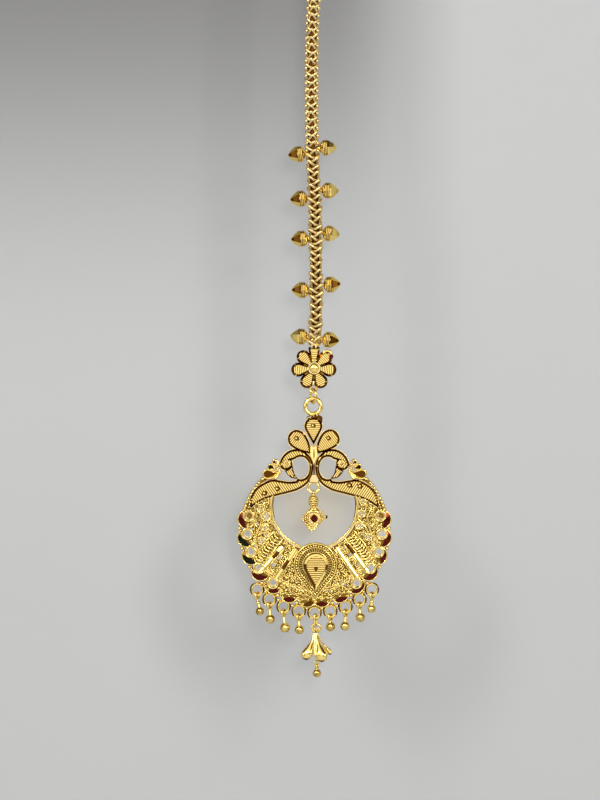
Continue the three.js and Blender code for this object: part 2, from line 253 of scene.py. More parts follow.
class Bench:
    """Points in millimetres, faces, and each face's finish, for one piece."""

    def __init__(self, origin=(0, 0, 0)):
        self.origin = Vector(origin)
        self.points = []
        self.faces = []
        self.face_finish = []
        self.smooth = []
        self.finishes = []

    def add(self, points, faces, finish, smooth=True):
        if finish not in self.finishes:
            self.finishes.append(finish)
        start = len(self.points)
        index = self.finishes.index(finish)
        self.points.extend((Vector(p) + self.origin) * MM for p in points)
        for face in faces:
            self.faces.append([start + i for i in face])
            self.face_finish.append(index)
            self.smooth.append(smooth)

    def hand_over(self, name, body, slot, *nodes):
        """Makes the piece, which rides on a body and stands for its frame nodes."""
        mesh = bpy.data.meshes.new(name)
        mesh.from_pydata(self.points, [], self.faces)
        mesh.polygons.foreach_set("material_index", self.face_finish)
        mesh.polygons.foreach_set("use_smooth", self.smooth)
        for finish in self.finishes:
            mesh.materials.append(bpy.data.materials[finish])
        mesh.update()
        piece = bpy.data.objects.new(name, mesh)
        bpy.context.scene.collection.objects.link(piece)
        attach(piece, body)
        if nodes:
            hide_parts(*nodes)
        return piece


# The rounded end of a wire: its rise and its narrowest radius, as shares of the wire's radius.
CAP_RISE, CAP_SHARE = 0.45, 0.55
# How far a cut bevel falls back for each millimetre of its width.
BEVEL_SLOPE = 1.15


def raised(path, y):
    """A front-plane path at one depth."""
    return [(x, y, z) for x, z in path]


def spun(middle, r, across, up, sides, start=0.0):
    """Points around a middle, in the plane of two directions."""
    angles = [start + 2 * pi * side / sides for side in range(sides)]
    return [middle + r * (cos(angle) * across + sin(angle) * up) for angle in angles]


def wire(bench, path, radius, finish="bright_gold", sides=8, closed=False):
    """Round wire along a path of (x, y, z). The radius is one number, or one for each point."""
    points = [Vector(p) for p in path]
    count = len(points)
    radii = list(radius) if hasattr(radius, "__len__") else [radius] * count
    tangents = []
    for i in range(count):
        if closed:
            tangent = points[(i + 1) % count] - points[i - 1]
        else:
            tangent = points[min(i + 1, count - 1)] - points[max(i - 1, 0)]
        tangents.append(tangent.normalized())
    guess = Vector((0, 1, 0)) if abs(tangents[0].y) < 0.9 else Vector((1, 0, 0))
    normal = (guess - guess.dot(tangents[0]) * tangents[0]).normalized()
    normals = [normal]
    for i in range(1, count):
        normal = tangents[i - 1].rotation_difference(tangents[i]) @ normals[-1]
        normals.append((normal - normal.dot(tangents[i]) * tangents[i]).normalized())
    twist = 0.0
    if closed:
        last = tangents[-1].rotation_difference(tangents[0]) @ normals[-1]
        twist = atan2(normals[0].cross(last).dot(tangents[0]), normals[0].dot(last))
    rings = []
    for i in range(count):
        back = Matrix.Rotation(-twist * i / count, 3, tangents[i]) @ normals[i]
        rings.append((points[i], back, tangents[i].cross(back), radii[i]))
    if not closed:
        first, end = rings[0], rings[-1]
        rings.insert(0, (first[0] - tangents[0] * first[3] * CAP_RISE, *first[1:3], first[3] * CAP_SHARE))
        rings.append((end[0] + tangents[-1] * end[3] * CAP_RISE, *end[1:3], end[3] * CAP_SHARE))
    made = [p for centre, across, up, r in rings for p in spun(centre, r, across, up, sides)]
    total = len(rings)
    faces = []
    for i in range(total if closed else total - 1):
        for side in range(sides):
            a = i * sides + side
            b = i * sides + (side + 1) % sides
            c = ((i + 1) % total) * sides + (side + 1) % sides
            d = ((i + 1) % total) * sides + side
            faces.append((a, b, c, d))
    if not closed:
        faces.append(tuple(range(sides))[::-1])
        faces.append(tuple((total - 1) * sides + side for side in range(sides)))
    bench.add(made, faces, finish)


def ring(bench, x, z, r, thickness, turn=0.0, straight=0.0, steps=24, sides=10, finish="bright_gold"):
    """A wire ring that faces the front, turned about the upright axis and lengthened by straight sides."""
    path = []
    turned_by = radians(turn)
    for i in range(steps):
        angle = 2 * pi * (i + 0.5) / steps
        across = r * cos(angle)
        height = r * sin(angle) + copysign(straight / 2, sin(angle))
        path.append((x + across * cos(turned_by), across * sin(turned_by), z + height))
    wire(bench, path, thickness, finish, sides, closed=True)


def turned(bench, profile, centre, axis, sides, finish="bright_gold", smooth=True, roll=0.0):
    """A turned solid from rows of (radius, distance along the axis); its ends close on the axis."""
    axis = Vector(axis).normalized()
    across = Matrix.Rotation(roll, 3, axis) @ axis.orthogonal().normalized()
    up = axis.cross(across)
    made = []
    rows = []
    for r, along in profile:
        middle = Vector(centre) + axis * along
        if r < 1e-6:
            rows.append([len(made)])
            made.append(middle)
            continue
        rows.append(list(range(len(made), len(made) + sides)))
        made += spun(middle, r, across, up, sides)
    faces = []
    for low, high in zip(rows, rows[1:]):
        for side in range(sides):
            after = (side + 1) % sides
            corners = ((low, side), (low, after), (high, after), (high, side))
            faces.append(tuple(dict.fromkeys(row[i % len(row)] for row, i in corners)))
    faces += [tuple(end) for end in (rows[0][::-1], rows[-1]) if len(end) > 1]
    bench.add(made, faces, finish, smooth)


def ball(bench, x, y, z, r, around=14, rows=8, finish="bright_gold", flat=1.0):
    """A ball, flattened along Y where flat is under 1."""
    profile = []
    for row in range(rows + 1):
        angle = pi * row / rows
        profile.append((r * sin(angle) if 0 < row < rows else 0.0, -r * flat * cos(angle)))
    turned(bench, profile, (x, y, z), (0, 1, 0), around, finish)


def filled(loops):
    """The points of an outline and its holes, and triangles between them that face the front."""
    flat = [p for loop in loops for p in loop]
    triangles = []
    for triangle in tessellate_polygon([[Vector((x, z, 0)) for x, z in loop] for loop in loops]):
        a, b, c = (flat[i] for i in triangle)
        turn = (b[0] - a[0]) * (c[1] - a[1]) - (c[0] - a[0]) * (b[1] - a[1])
        if abs(turn) > 1e-9:
            triangles.append(tuple(triangle) if turn > 0 else tuple(triangle[::-1]))
    return flat, triangles


def edge_round(bench, outline, back, front, finish="bright_gold"):
    """The upright edge of a plate along one outline."""
    count = len(outline)
    made = [(x, y, z) for y in (back, front) for x, z in outline]
    walls = [(i, (i + 1) % count, (i + 1) % count + count, i + count) for i in range(count)]
    bench.add(made, walls, finish)


def close_flat(bench, outline, y, finish, facing=-1):
    """Fills an outline at one depth; facing -1 is towards the front."""
    flat, faces = filled([outline])
    bench.add(raised(flat, y), [face[::-facing] for face in faces], finish, smooth=False)


def plate(bench, outline, front, back, finish, holes=(), edge_finish=None):
    """A flat plate with holes."""
    loops = [anticlockwise(outline)] + [anticlockwise(hole)[::-1] for hole in holes]
    flat, fronts = filled(loops)
    backs = [tuple(i + len(flat) for i in face[::-1]) for face in fronts]
    bench.add(raised(flat, front) + raised(flat, back), fronts + backs, finish, smooth=False)
    for loop in loops:
        edge_round(bench, loop, back, front, edge_finish or finish)


def facet_band(bench, outer, inner, outer_y, inner_y, finishes):
    """A sloping cut between two outlines with as many points, and a finish for each stretch of it."""
    for i, finish in enumerate(finishes):
        j = (i + 1) % len(outer)
        corners = ((outer[i], outer_y), (outer[j], outer_y), (inner[j], inner_y), (inner[i], inner_y))
        bench.add([(x, y, z) for (x, z), y in corners], [(0, 1, 2, 3)], finish, smooth=False)


def cut_plate(bench, outline, front, back, bevel, face, cut="umber_cut", gap=0, lip=0.0):
    """A plate whose outline is cut to a sloping bevel, painted dark as shade and dark reflection. Each gap-th
    stretch of the bevel stays bright.
    """
    outline = anticlockwise(outline)
    low = front + bevel * BEVEL_SLOPE
    inner = inset(outline, bevel)
    edge_round(bench, outline, back, low)
    cuts = ["bright_gold" if gap and i % gap == gap // 2 else cut for i in range(len(outline))]
    facet_band(bench, outline, inner, low, front, cuts)
    close_flat(bench, inner, front, face)
    close_flat(bench, outline, back, "bright_gold", facing=1)
    if lip:
        wire(bench, raised(outline, low), lip, "filigree_gold", 6, closed=True)
    return inner


def crossings(outline, base, along):
    """Where a line crosses an outline, as distances along the line, in order."""
    found = []
    across = Vector((-along.y, along.x))
    count = len(outline)
    for i in range(count):
        a = Vector(outline[i]) - base
        b = Vector(outline[(i + 1) % count]) - base
        da, db = a.dot(across), b.dot(across)
        if (da > 0) != (db > 0):
            t = da / (da - db)
            found.append((a + (b - a) * t).dot(along))
    return sorted(found)


def hatch(bench, outline, direction, y, pitch=None, keep_out=(), height=0.1):
    """Fine raised lines between engraved grooves, across an outline. keep_out holds discs (x, z, r)."""
    pitch = pitch or bpy.context.scene.tikka_plate.hatch / MM
    along = Vector(polar(0, 0, 1, direction))
    across = Vector((-along.y, along.x))
    reach = [Vector(p).dot(across) for p in outline]
    half_widths = (pitch * 0.31, pitch * 0.25)
    margin, shortest = 0.05, 0.12
    row = int(min(reach) // pitch) + 1
    while row * pitch < max(reach):
        base = across * (row * pitch)
        found = crossings(outline, base, along)
        for start, end in zip(found[::2], found[1::2]):
            spans = [(start + margin, end - margin)]
            for x, z, r in keep_out:
                off = Vector((x, z)) - base
                aside, middle = abs(off.dot(across)), off.dot(along)
                if aside < r:
                    half = sqrt(r * r - aside * aside)
                    spans = [
                        part
                        for low, high in spans
                        for part in ((low, min(high, middle - half)), (max(low, middle + half), high))
                    ]
            for low, high in spans:
                if high - low > shortest:
                    ends = (base + along * low, base + along * high)
                    ridge(bench, ends, across, y, half_widths, height, "satin_gold")
        row += 1


def engraved_plate(bench, outline, front, back, bevel, lines, gap=0, lip=0.0, **engraving):
    """A cut plate with a grooved face painted dark as shade, and raised lines across it."""
    face = cut_plate(bench, outline, front, back, bevel, "groove_gold", gap=gap, lip=lip)
    hatch(bench, face, lines, front, **engraving)


def ridge(bench, ends, across, y, half_widths, height, finish):
    """One raised line with a flat top, closed all round. Its half widths are at its foot and at its top."""
    base, top = half_widths
    foot = y + 0.02
    section = ((-base, foot), (-top, y - height), (top, y - height), (base, foot))
    made = []
    for p in ends:
        for half, depth in section:
            q = p + across * half
            made.append((q.x, depth, q.y))
    faces = [(0, 1, 5, 4), (1, 2, 6, 5), (2, 3, 7, 6), (3, 0, 4, 7), (3, 2, 1, 0), (4, 5, 6, 7)]
    bench.add(made, faces, finish, smooth=False)


def bar(bench, start, end, half_width, front, back, finishes):
    """A straight bar with a roofed front, cut in stretches: rows of (share of the length, finish)."""
    a, b = Vector(start), Vector(end)
    along = b - a
    across = Vector((-along.y, along.x)).normalized()
    roof = front + 0.08
    section = [(-half_width, back), (-half_width, roof), (0, front), (half_width, roof), (half_width, back)]
    done = 0.0
    for share, finish in finishes:
        made = []
        for t in (done, done + share):
            p = a + along * t
            for half, depth in section:
                q = p + across * half
                made.append((q.x, depth, q.y))
        faces = [(i, (i + 1) % 5, (i + 1) % 5 + 5, i + 5) for i in range(5)]
        faces += [(4, 3, 2, 1, 0), (5, 6, 7, 8, 9)]
        bench.add(made, faces, finish, smooth=False)
        done += share


def curl(bench, x, z, r, start, turns, y, thickness, steps):
    """A small scroll: a wire that winds inward from radius r. Negative turns wind clockwise."""
    path = []
    for i in range(steps + 1):
        share = i / steps
        px, pz = polar(x, z, r * (1 - 0.62 * share), start + 360 * turns * share)
        path.append((px, y, pz))
    wire(bench, path, thickness, sides=6)


def grain_row(bench, path, pitch, r, y, around):
    """Grains along a front-plane path."""
    left = 0.0
    for a, b in zip(path, path[1:]):
        a, b = Vector(a), Vector(b)
        length = (b - a).length
        while left <= length and length > 1e-9:
            p = a + (b - a) * (left / length)
            ball(bench, p.x, y, p.y, r, around, 6)
            left += pitch
        left -= length


def hollow(bench, x, y, z, r, depth):
    """A shallow drilled hollow, painted dark with its shade."""
    turned(bench, [(0, 0), (r, 0), (r, depth), (0, depth)], (x, y, z), (0, -1, 0), 16, "umber_cut")


def eyed_grain(bench, x, z, y, r):
    """A bright grain beside a drilled hollow painted dark with shade."""
    hollow(bench, x + 0.12, y - 0.02, z - 0.04, r * 1.45, 0.04)
    ball(bench, x - 0.04, y - 0.12, z + 0.02, r)


# ---- Effects that several finishes share ----

BLACK = (0, 0, 0, 1)


def new_group(name, inputs, outputs):
    """An empty shader node group with its sockets, and its input and output nodes."""
    group = bpy.data.node_groups.new(name, "ShaderNodeTree")
    for in_out, sockets in (("INPUT", inputs), ("OUTPUT", outputs)):
        for label, default in sockets.items():
            kind = "NodeSocketColor" if isinstance(default, tuple) else "NodeSocketFloat"
            socket = group.interface.new_socket(name=label, in_out=in_out, socket_type=kind)
            if in_out == "INPUT":
                socket.default_value = default
    start = group.nodes.new("NodeGroupInput")
    start.location = (-900, 0)
    end = group.nodes.new("NodeGroupOutput")
    end.location = (600, 0)
    return group, start, end


def add_node(tree, kind, x, y, values=None, **settings):
    """A shader node at a place in the tree, with values for its inputs and settings of its own."""
    node = tree.nodes.new("ShaderNode" + kind)
    node.location = (x, y)
    for key, value in settings.items():
        setattr(node, key, value)
    set_inputs(node, values or {})
    return node


def set_inputs(node, values):
    for socket, value in values.items():
        node.inputs[socket].default_value = value


def connect(tree, *rows):
    """Links sockets. Each row is a node, its output, the next node and its input."""
    for source, output, target, socket in rows:
        tree.links.new(source.outputs[output], target.inputs[socket])


def plating_tone():
    """Slow changes in the colour of the gold plate, warmer here and paler there."""
    group, start, end = new_group(
        "Plating tone",
        {"Gold": (0.9, 0.65, 0.2, 1), "Warm": (0.85, 0.5, 0.2, 1), "Amount": 0.3, "Scale": 220.0},
        {"Colour": BLACK, "Cloud": 0.0},
    )
    place = add_node(group, "TexCoord", -900, -260)
    noise = add_node(group, "TexNoise", -600, -120, {"Detail": 3, "Roughness": 0.55})
    spread = add_node(group, "MapRange", -350, -120, {"From Min": 0.35, "From Max": 0.68})
    share = add_node(group, "Math", -120, -120, operation="MULTIPLY")
    mix = add_node(group, "Mix", 150, 60, data_type="RGBA")
    connect(
        group,
        (place, "Object", noise, "Vector"),
        (start, "Scale", noise, "Scale"),
        (noise, "Fac", spread, "Value"),
        (spread, "Result", share, 0),
        (start, "Amount", share, 1),
        (share, "Value", mix, "Factor"),
        (start, "Gold", mix, "A"),
        (start, "Warm", mix, "B"),
        (mix, "Result", end, "Colour"),
        (spread, "Result", end, "Cloud"),
    )


def recess_shade():
    """Painted shade: darkens the colour where metal lies close, in recesses where shade falls."""
    group, start, end = new_group(
        "Recess soil",
        {"Colour": (0.9, 0.65, 0.2, 1), "Soil": (0.1, 0.05, 0.01, 1), "Amount": 0.6, "Reach": 0.0005},
        {"Colour": BLACK, "Recess": 0.0},
    )
    near = add_node(group, "AmbientOcclusion", -600, 0, samples=4)
    depth = add_node(group, "MapRange", -350, -80, {"From Min": 0.9, "From Max": 0.25})
    share = add_node(group, "Math", -120, -80, operation="MULTIPLY")
    mix = add_node(group, "Mix", 150, 60, data_type="RGBA")
    connect(
        group,
        (start, "Reach", near, "Distance"),
        (near, "AO", depth, "Value"),
        (depth, "Result", share, 0),
        (start, "Amount", share, 1),
        (share, "Value", mix, "Factor"),
        (start, "Colour", mix, "A"),
        (start, "Soil", mix, "B"),
        (mix, "Result", end, "Colour"),
        (depth, "Result", end, "Recess"),
    )


def hand_finish():
    """Fine marks of hand work: a height for a bump, and a roughness that varies with them."""
    group, start, end = new_group(
        "Hand finish",
        {"Roughness": 0.25, "Variation": 0.1, "Scale": 2200.0},
        {"Height": 0.0, "Roughness": 0.0},
    )
    place = add_node(group, "TexCoord", -900, -260)
    fine = add_node(group, "TexNoise", -600, -120, {"Detail": 2})
    offset = add_node(group, "Math", -350, -200, {1: 0.5}, operation="SUBTRACT")
    swing = add_node(group, "Math", -120, -200, operation="MULTIPLY")
    total = add_node(group, "Math", 150, -120, operation="ADD", use_clamp=True)
    connect(
        group,
        (place, "Object", fine, "Vector"),
        (start, "Scale", fine, "Scale"),
        (fine, "Fac", offset, 0),
        (offset, "Value", swing, 0),
        (start, "Variation", swing, 1),
        (swing, "Value", total, 0),
        (start, "Roughness", total, 1),
        (fine, "Fac", end, "Height"),
        (total, "Value", end, "Roughness"),
    )


# ---- Finishes ----

# Shares of a finish's colour: in its recesses, as painted shade, and where the plate is warmer.
RECESS_SHADE_TINT, WARMER = (0.22, 0.14, 0.1), (0.96, 0.88, 0.75)
# How far the painted shade in recesses reaches, and the depth of the hand marks.
RECESS_SHADE_REACH, MARK_DEPTH = 0.45, 0.05
# Painted dark reflections: a darker cloud on the polished balls.
DARK_REFLECTION_CLOUD = (0.26, 0.14, 0.02)


def gold_finish(name, colour, warm, roughness, tone=0.35, soil=0.6, bump=0.12, cloud=220.0):
    """A gold-plated finish: toned plate, painted shade in its recesses, and the marks of hand work."""
    material = bpy.data.materials.new(name)
    material.use_nodes = True
    tree = material.node_tree
    shader = tree.nodes["Principled BSDF"]
    set_inputs(shader, {"Metallic": 1, "Specular Tint": (*colour, 1)})
    groups = bpy.data.node_groups
    shaded = (c * share for c, share in zip(colour, RECESS_SHADE_TINT))
    tones = {"Gold": (*colour, 1), "Warm": (*warm, 1), "Amount": tone, "Scale": cloud}
    plating = add_node(tree, "Group", -900, 200, tones, node_tree=groups["Plating tone"])
    recess_shading = {"Soil": (*shaded, 1), "Amount": soil, "Reach": RECESS_SHADE_REACH * MM}
    recess = add_node(tree, "Group", -600, 200, recess_shading, node_tree=groups["Recess soil"])
    marks = {"Roughness": roughness, "Variation": roughness * 0.5}
    hand = add_node(tree, "Group", -900, -200, marks, node_tree=groups["Hand finish"])
    relief = add_node(tree, "Bump", -300, -250, {"Strength": bump, "Distance": MARK_DEPTH * MM})
    connect(
        tree,
        (plating, "Colour", recess, "Colour"),
        (recess, "Colour", shader, "Base Color"),
        (hand, "Roughness", shader, "Roughness"),
        (hand, "Height", relief, "Height"),
        (relief, "Normal", shader, "Normal"),
    )


class TIKKA_OT_finishes(Operator):
    """Mix the gold finishes and the dark polished cuts."""

    bl_idname = "tikka.finishes"
    bl_label = "Finishes"

    def execute(self, context):
        metal = context.scene.tikka_metal
        plating_tone()
        recess_shade()
        hand_finish()
        golds = [
            ("bright_gold", metal.bright, metal.polish, 0.25, 0.45, 0.05),
            ("filigree_gold", metal.filigree, metal.polish + 0.07, 0.3, 0.75, 0.1),
            ("satin_gold", metal.satin, metal.satin_roughness, 0.45, 0.35, 0.2),
            ("groove_gold", metal.groove, metal.satin_roughness, 0.3, 0.5, 0.2),
            ("bed_gold", metal.bed, metal.satin_roughness + 0.05, 0.4, 0.7, 0.3),
            ("chain_gold", metal.chain, metal.polish, 0.35, 0.7, 0.05),
        ]
        for name, colour, roughness, tone, soil, bump in golds:
            warm = [c * share for c, share in zip(colour, WARMER)]
            gold_finish(name, colour, warm, roughness, tone, soil, bump=bump)
        drop_roughness = metal.polish * 0.6
        # The drops' darker cloud is painted dark reflection.
        gold_finish("drop_gold", metal.bright, DARK_REFLECTION_CLOUD, drop_roughness, 1.0, 0.5, bump=0.02, cloud=750.0)
        # The dark core finish is painted shade.
        gold_finish("core_gold", metal.core, metal.core, 0.4, 0.2, 0.5)
        # The dark cuts: painted shade and dark reflections on polished facets.
        for name in ("maroon", "green", "umber"):
            dark = getattr(metal, name)
            gold_finish(f"{name}_cut", dark, [c * 0.6 for c in dark], 0.2, 0.6, 0.2, bump=0.03)
        return {"FINISHED"}


# ---- Hook and chain ----

HOOK_INNER, HOOK_WIRE = 2.6, 0.5
HOOK_SHANK_END, HOOK_FREE_END, HOOK_STEM_TOP = -4.6, -6.4, -8.4
HOOK_EYE_Z, HOOK_EYE_R, HOOK_EYE_WIRE = -10.2, 0.9, 0.34

# The chain's centre line, from the hook's eye to the flower.
CHAIN_ROUTE = [(0, -11.8), (-0.05, -22), (-0.12, -34), (-0.38, -38), (-0.58, -50), (-0.48, -62)]
CHAIN_ROUTE += [(-0.2, -69.2), (0.1, -75.2), (0.2, -82), (0.34, -94), (0.18, -99), (0, -102.8)]
# Below this height the links stand cornerwise to the front; above it they face it.
CHAIN_TURNS_FROM, CHAIN_TURNS_OVER = -58.0, 12.0


def chain_line():
    """The chain's centre line in close, even steps: (x, z) from top to bottom."""
    return catmull(CHAIN_ROUTE, 40)


def chain_x_at(z):
    return min(chain_line(), key=lambda p: abs(p[1] - z))[0]


class TIKKA_OT_hook(Operator):
    """Bend the hair hook from one wire, with a closed eye for the chain."""

    bl_idname = "tikka.hook"
    bl_label = "Hair hook"

    def execute(self, context):
        bench = Bench()
        bend = HOOK_INNER + HOOK_WIRE
        path = [(-bend, HOOK_FREE_END), (-bend, (HOOK_FREE_END - HOOK_INNER) / 2)]
        path += arc(0, -HOOK_INNER, bend, 180, 0, 14)
        path += [(bend, HOOK_SHANK_END), (bend * 0.75, HOOK_SHANK_END - 1.7)]
        path += [(bend * 0.2, HOOK_STEM_TOP + 0.7), (0, HOOK_STEM_TOP), (0, HOOK_EYE_Z + HOOK_EYE_R)]
        wire(bench, raised(catmull(path, 5), 0), HOOK_WIRE, sides=14)
        ball(bench, -bend, 0, HOOK_FREE_END, HOOK_WIRE * 1.12)
        ring(bench, 0, HOOK_EYE_Z, HOOK_EYE_R, HOOK_EYE_WIRE, steps=28, sides=12)
        wrap = []
        for i in range(49):
            angle = 2 * pi * i / 12
            z = HOOK_STEM_TOP - 0.05 - i * 0.016
            wrap.append((0.6 * cos(angle), 0.6 * sin(angle), z))
        wire(bench, wrap, 0.11, sides=6)
        bench.hand_over("hair_hook_wire", "chain_assembly", "plain_gold_wire", "hair_hook")
        return {"FINISHED"}


class TIKKA_OT_chain(Operator):
    """Weave the foxtail chain: folded loops, each a quarter turn from the last."""

    bl_idname = "tikka.chain"
    bl_label = "Foxtail chain"

    def execute(self, context):
        size = context.scene.tikka_chain
        pitch, reach, waist = size.pitch / MM, size.reach / MM, size.waist / MM
        fold, thick = size.fold / MM, size.wire / MM
        line = chain_line()
        rng = random.Random(context.scene.tikka_plate.seed)
        places = []
        left = 0.9
        for a, b in zip(line, line[1:]):
            step = dist(a, b)
            while left <= step:
                places.append(Vector(a).lerp(Vector(b), left / step))
                left += pitch
            left -= step
        bench = Bench()
        for i, place in enumerate(places):
            turned_share = min(max((CHAIN_TURNS_FROM - place.y) / CHAIN_TURNS_OVER, 0), 1)
            eased = turned_share * turned_share * (3 - 2 * turned_share)
            turn = radians(90 * (i % 2) + 45 * eased + rng.uniform(-13, 13))
            lean = rng.uniform(-0.2, 0.2)
            size_here = rng.uniform(0.92, 1.1)
            path = []
            for step in range(20):
                t = 2 * pi * step / 20
                across = reach * (1 + 0.3 * eased) * size_here * cos(t)
                deep = waist * sin(t)
                x = across * cos(turn) - deep * sin(turn)
                y = across * sin(turn) + deep * cos(turn)
                path.append((place.x + x, y, place.y + fold / 2 * cos(2 * t) + lean * cos(t)))
            wire(bench, path, thick, "chain_gold", closed=True)
            if eased < 0.6 and i % 2:
                for side in SIDES:
                    x, y = place.x + side * reach * 0.94, rng.uniform(-0.12, 0.12)
                    ball(bench, x, y, place.y + 0.3, 0.42, 9, 6, "chain_gold")
        # A dark wire down the middle, painted shade in the gaps between the links.
        core = [(p.x, 0, p.y) for p in places[1:-1:4]]
        wire(bench, core, 0.72, "core_gold")
        top, end = places[0], places[-1]
        ring(bench, top.x, top.y + 1.0, 0.62, 0.24, turn=90, straight=0.5, steps=20, finish="chain_gold")
        ring(bench, end.x, end.y + 0.15, 0.55, 0.2, turn=20, straight=0.7, steps=20)
        bench.hand_over("foxtail_chain", "chain_assembly", "chain_gold", "chain")
        return {"FINISHED"}


# Side beads: pair, side, height of the neck, droop of the tip in degrees, and finish of the flat in front, on
# some beads a painted dark reflection.
SIDE_BEADS = [
    (1, -1, -64.5, 7, "umber_cut"),
    (1, 1, -63.8, -5, "bright_gold"),
    (2, -1, -73.4, 7, "umber_cut"),
    (2, 1, -72.1, 0, "bright_gold"),
    (3, -1, -81.5, 5, "umber_cut"),
    (3, 1, -80.3, 8, "bright_gold"),
    (4, -1, -92.0, 0, "umber_cut"),
    (4, 1, -91.1, -4, "umber_cut"),
    (5, -1, -101.5, -4, "bright_gold"),
    (5, 1, -101.6, 7, "umber_cut"),
]
# Rows of a bead's neck and of its ground tip: radius, and distance from the chain's middle.
NECK_ROWS = [(0, 1.1), (0.5, 1.1), (0.42, 1.4), (0.6, 1.62), (0, 1.62)]
TIP_ROWS = [(1.66, 3.02), (1.52, 3.42), (0.86, 4.3), (0.3, 4.8), (0.06, 4.93)]


class TIKKA_OT_side_beads(Operator):
    """Turn the acorn beads: neck, collar, fine ridges, and a tip ground to polished flats."""

    bl_idname = "tikka.side_beads"
    bl_label = "Side beads"

    def execute(self, context):
        flats = context.scene.tikka_chain.flats
        for i, (pair, side, z, droop, front_finish) in enumerate(SIDE_BEADS):
            bench = Bench()
            tilt = radians(droop)
            axis = Vector((side * cos(tilt), 0, -sin(tilt)))
            centre = Vector((chain_x_at(z), 0, z))
            turned(bench, NECK_ROWS, centre, axis, 14)
            turned(bench, self.cup_rows(), centre, axis, 9, smooth=False, roll=0.35 * i)
            roll = 0 if front_finish == "umber_cut" else 17 + 13 * (i % 3)
            self.tip(bench, centre, axis, flats, front_finish, roll)
            place = f"{pair}_{SIDE_NAMES[side]}"
            bench.hand_over(f"acorn_bead_{place}", "chain_assembly", "polished_gold", f"side_bead_{place}")
        return {"FINISHED"}

    def cup_rows(self):
        """The bead's cup, which swells over three fine ridges."""
        cup = [(0, 1.5), (0.7, 1.56), (1.12, 1.78), (1.38, 2.05)]
        for row in range(3):
            start = 2.08 + row * 0.3
            swell = 1.5 + 0.13 * sin((row + 0.8) * 0.8)
            groove, crest = swell - 0.14, swell + 0.04
            cup += [(groove, start), (crest, start + 0.07), (crest, start + 0.2), (groove, start + 0.27)]
        return cup + [(1.56, 3.0), (1.5, 3.1), (0, 3.12)]

    def tip(self, bench, centre, axis, flats, front_finish, roll):
        """The pointed end, ground to flats; the flat in front has its own finish, on some beads a painted
        dark reflection.
        """
        front = Vector((0, -1, 0))
        up = axis.cross(front)
        start = radians(roll) - pi / flats
        made = [p for r, along in TIP_ROWS for p in spun(centre + axis * along, r, front, up, flats, start)]
        for row in range(len(TIP_ROWS) - 1):
            for k in range(flats):
                a, b = row * flats + k, row * flats + (k + 1) % flats
                finish = front_finish if k == 0 and row < 3 else "bright_gold"
                flat = [made[j] for j in (a, b, b + flats, a + flats)]
                bench.add(flat, [(0, 1, 2, 3)], finish, smooth=False)
        bench.add(made[-flats:], [tuple(range(flats))], "bright_gold", smooth=False)
        bench.add(made[:flats], [tuple(range(flats))[::-1]], "bright_gold", smooth=False)


# ---- Flower and link ----

FLOWER_CENTRE = (-0.05, -107.66)
FLOWER_FRONT, FLOWER_BACK = -0.75, -0.05
# Petals without the top one: direction in degrees, reach and radius of the round end.
PETALS = [(43, 4.5, 1.4), (-5, 4.45, 1.42), (-64, 4.3, 1.4)]
PETALS += [(-119, 4.35, 1.4), (185, 4.6, 1.42), (134, 4.5, 1.38)]
EYE_X, EYE_Z, EYE_R, EYE_WIRE = -0.28, -111.66, 0.76, 0.22


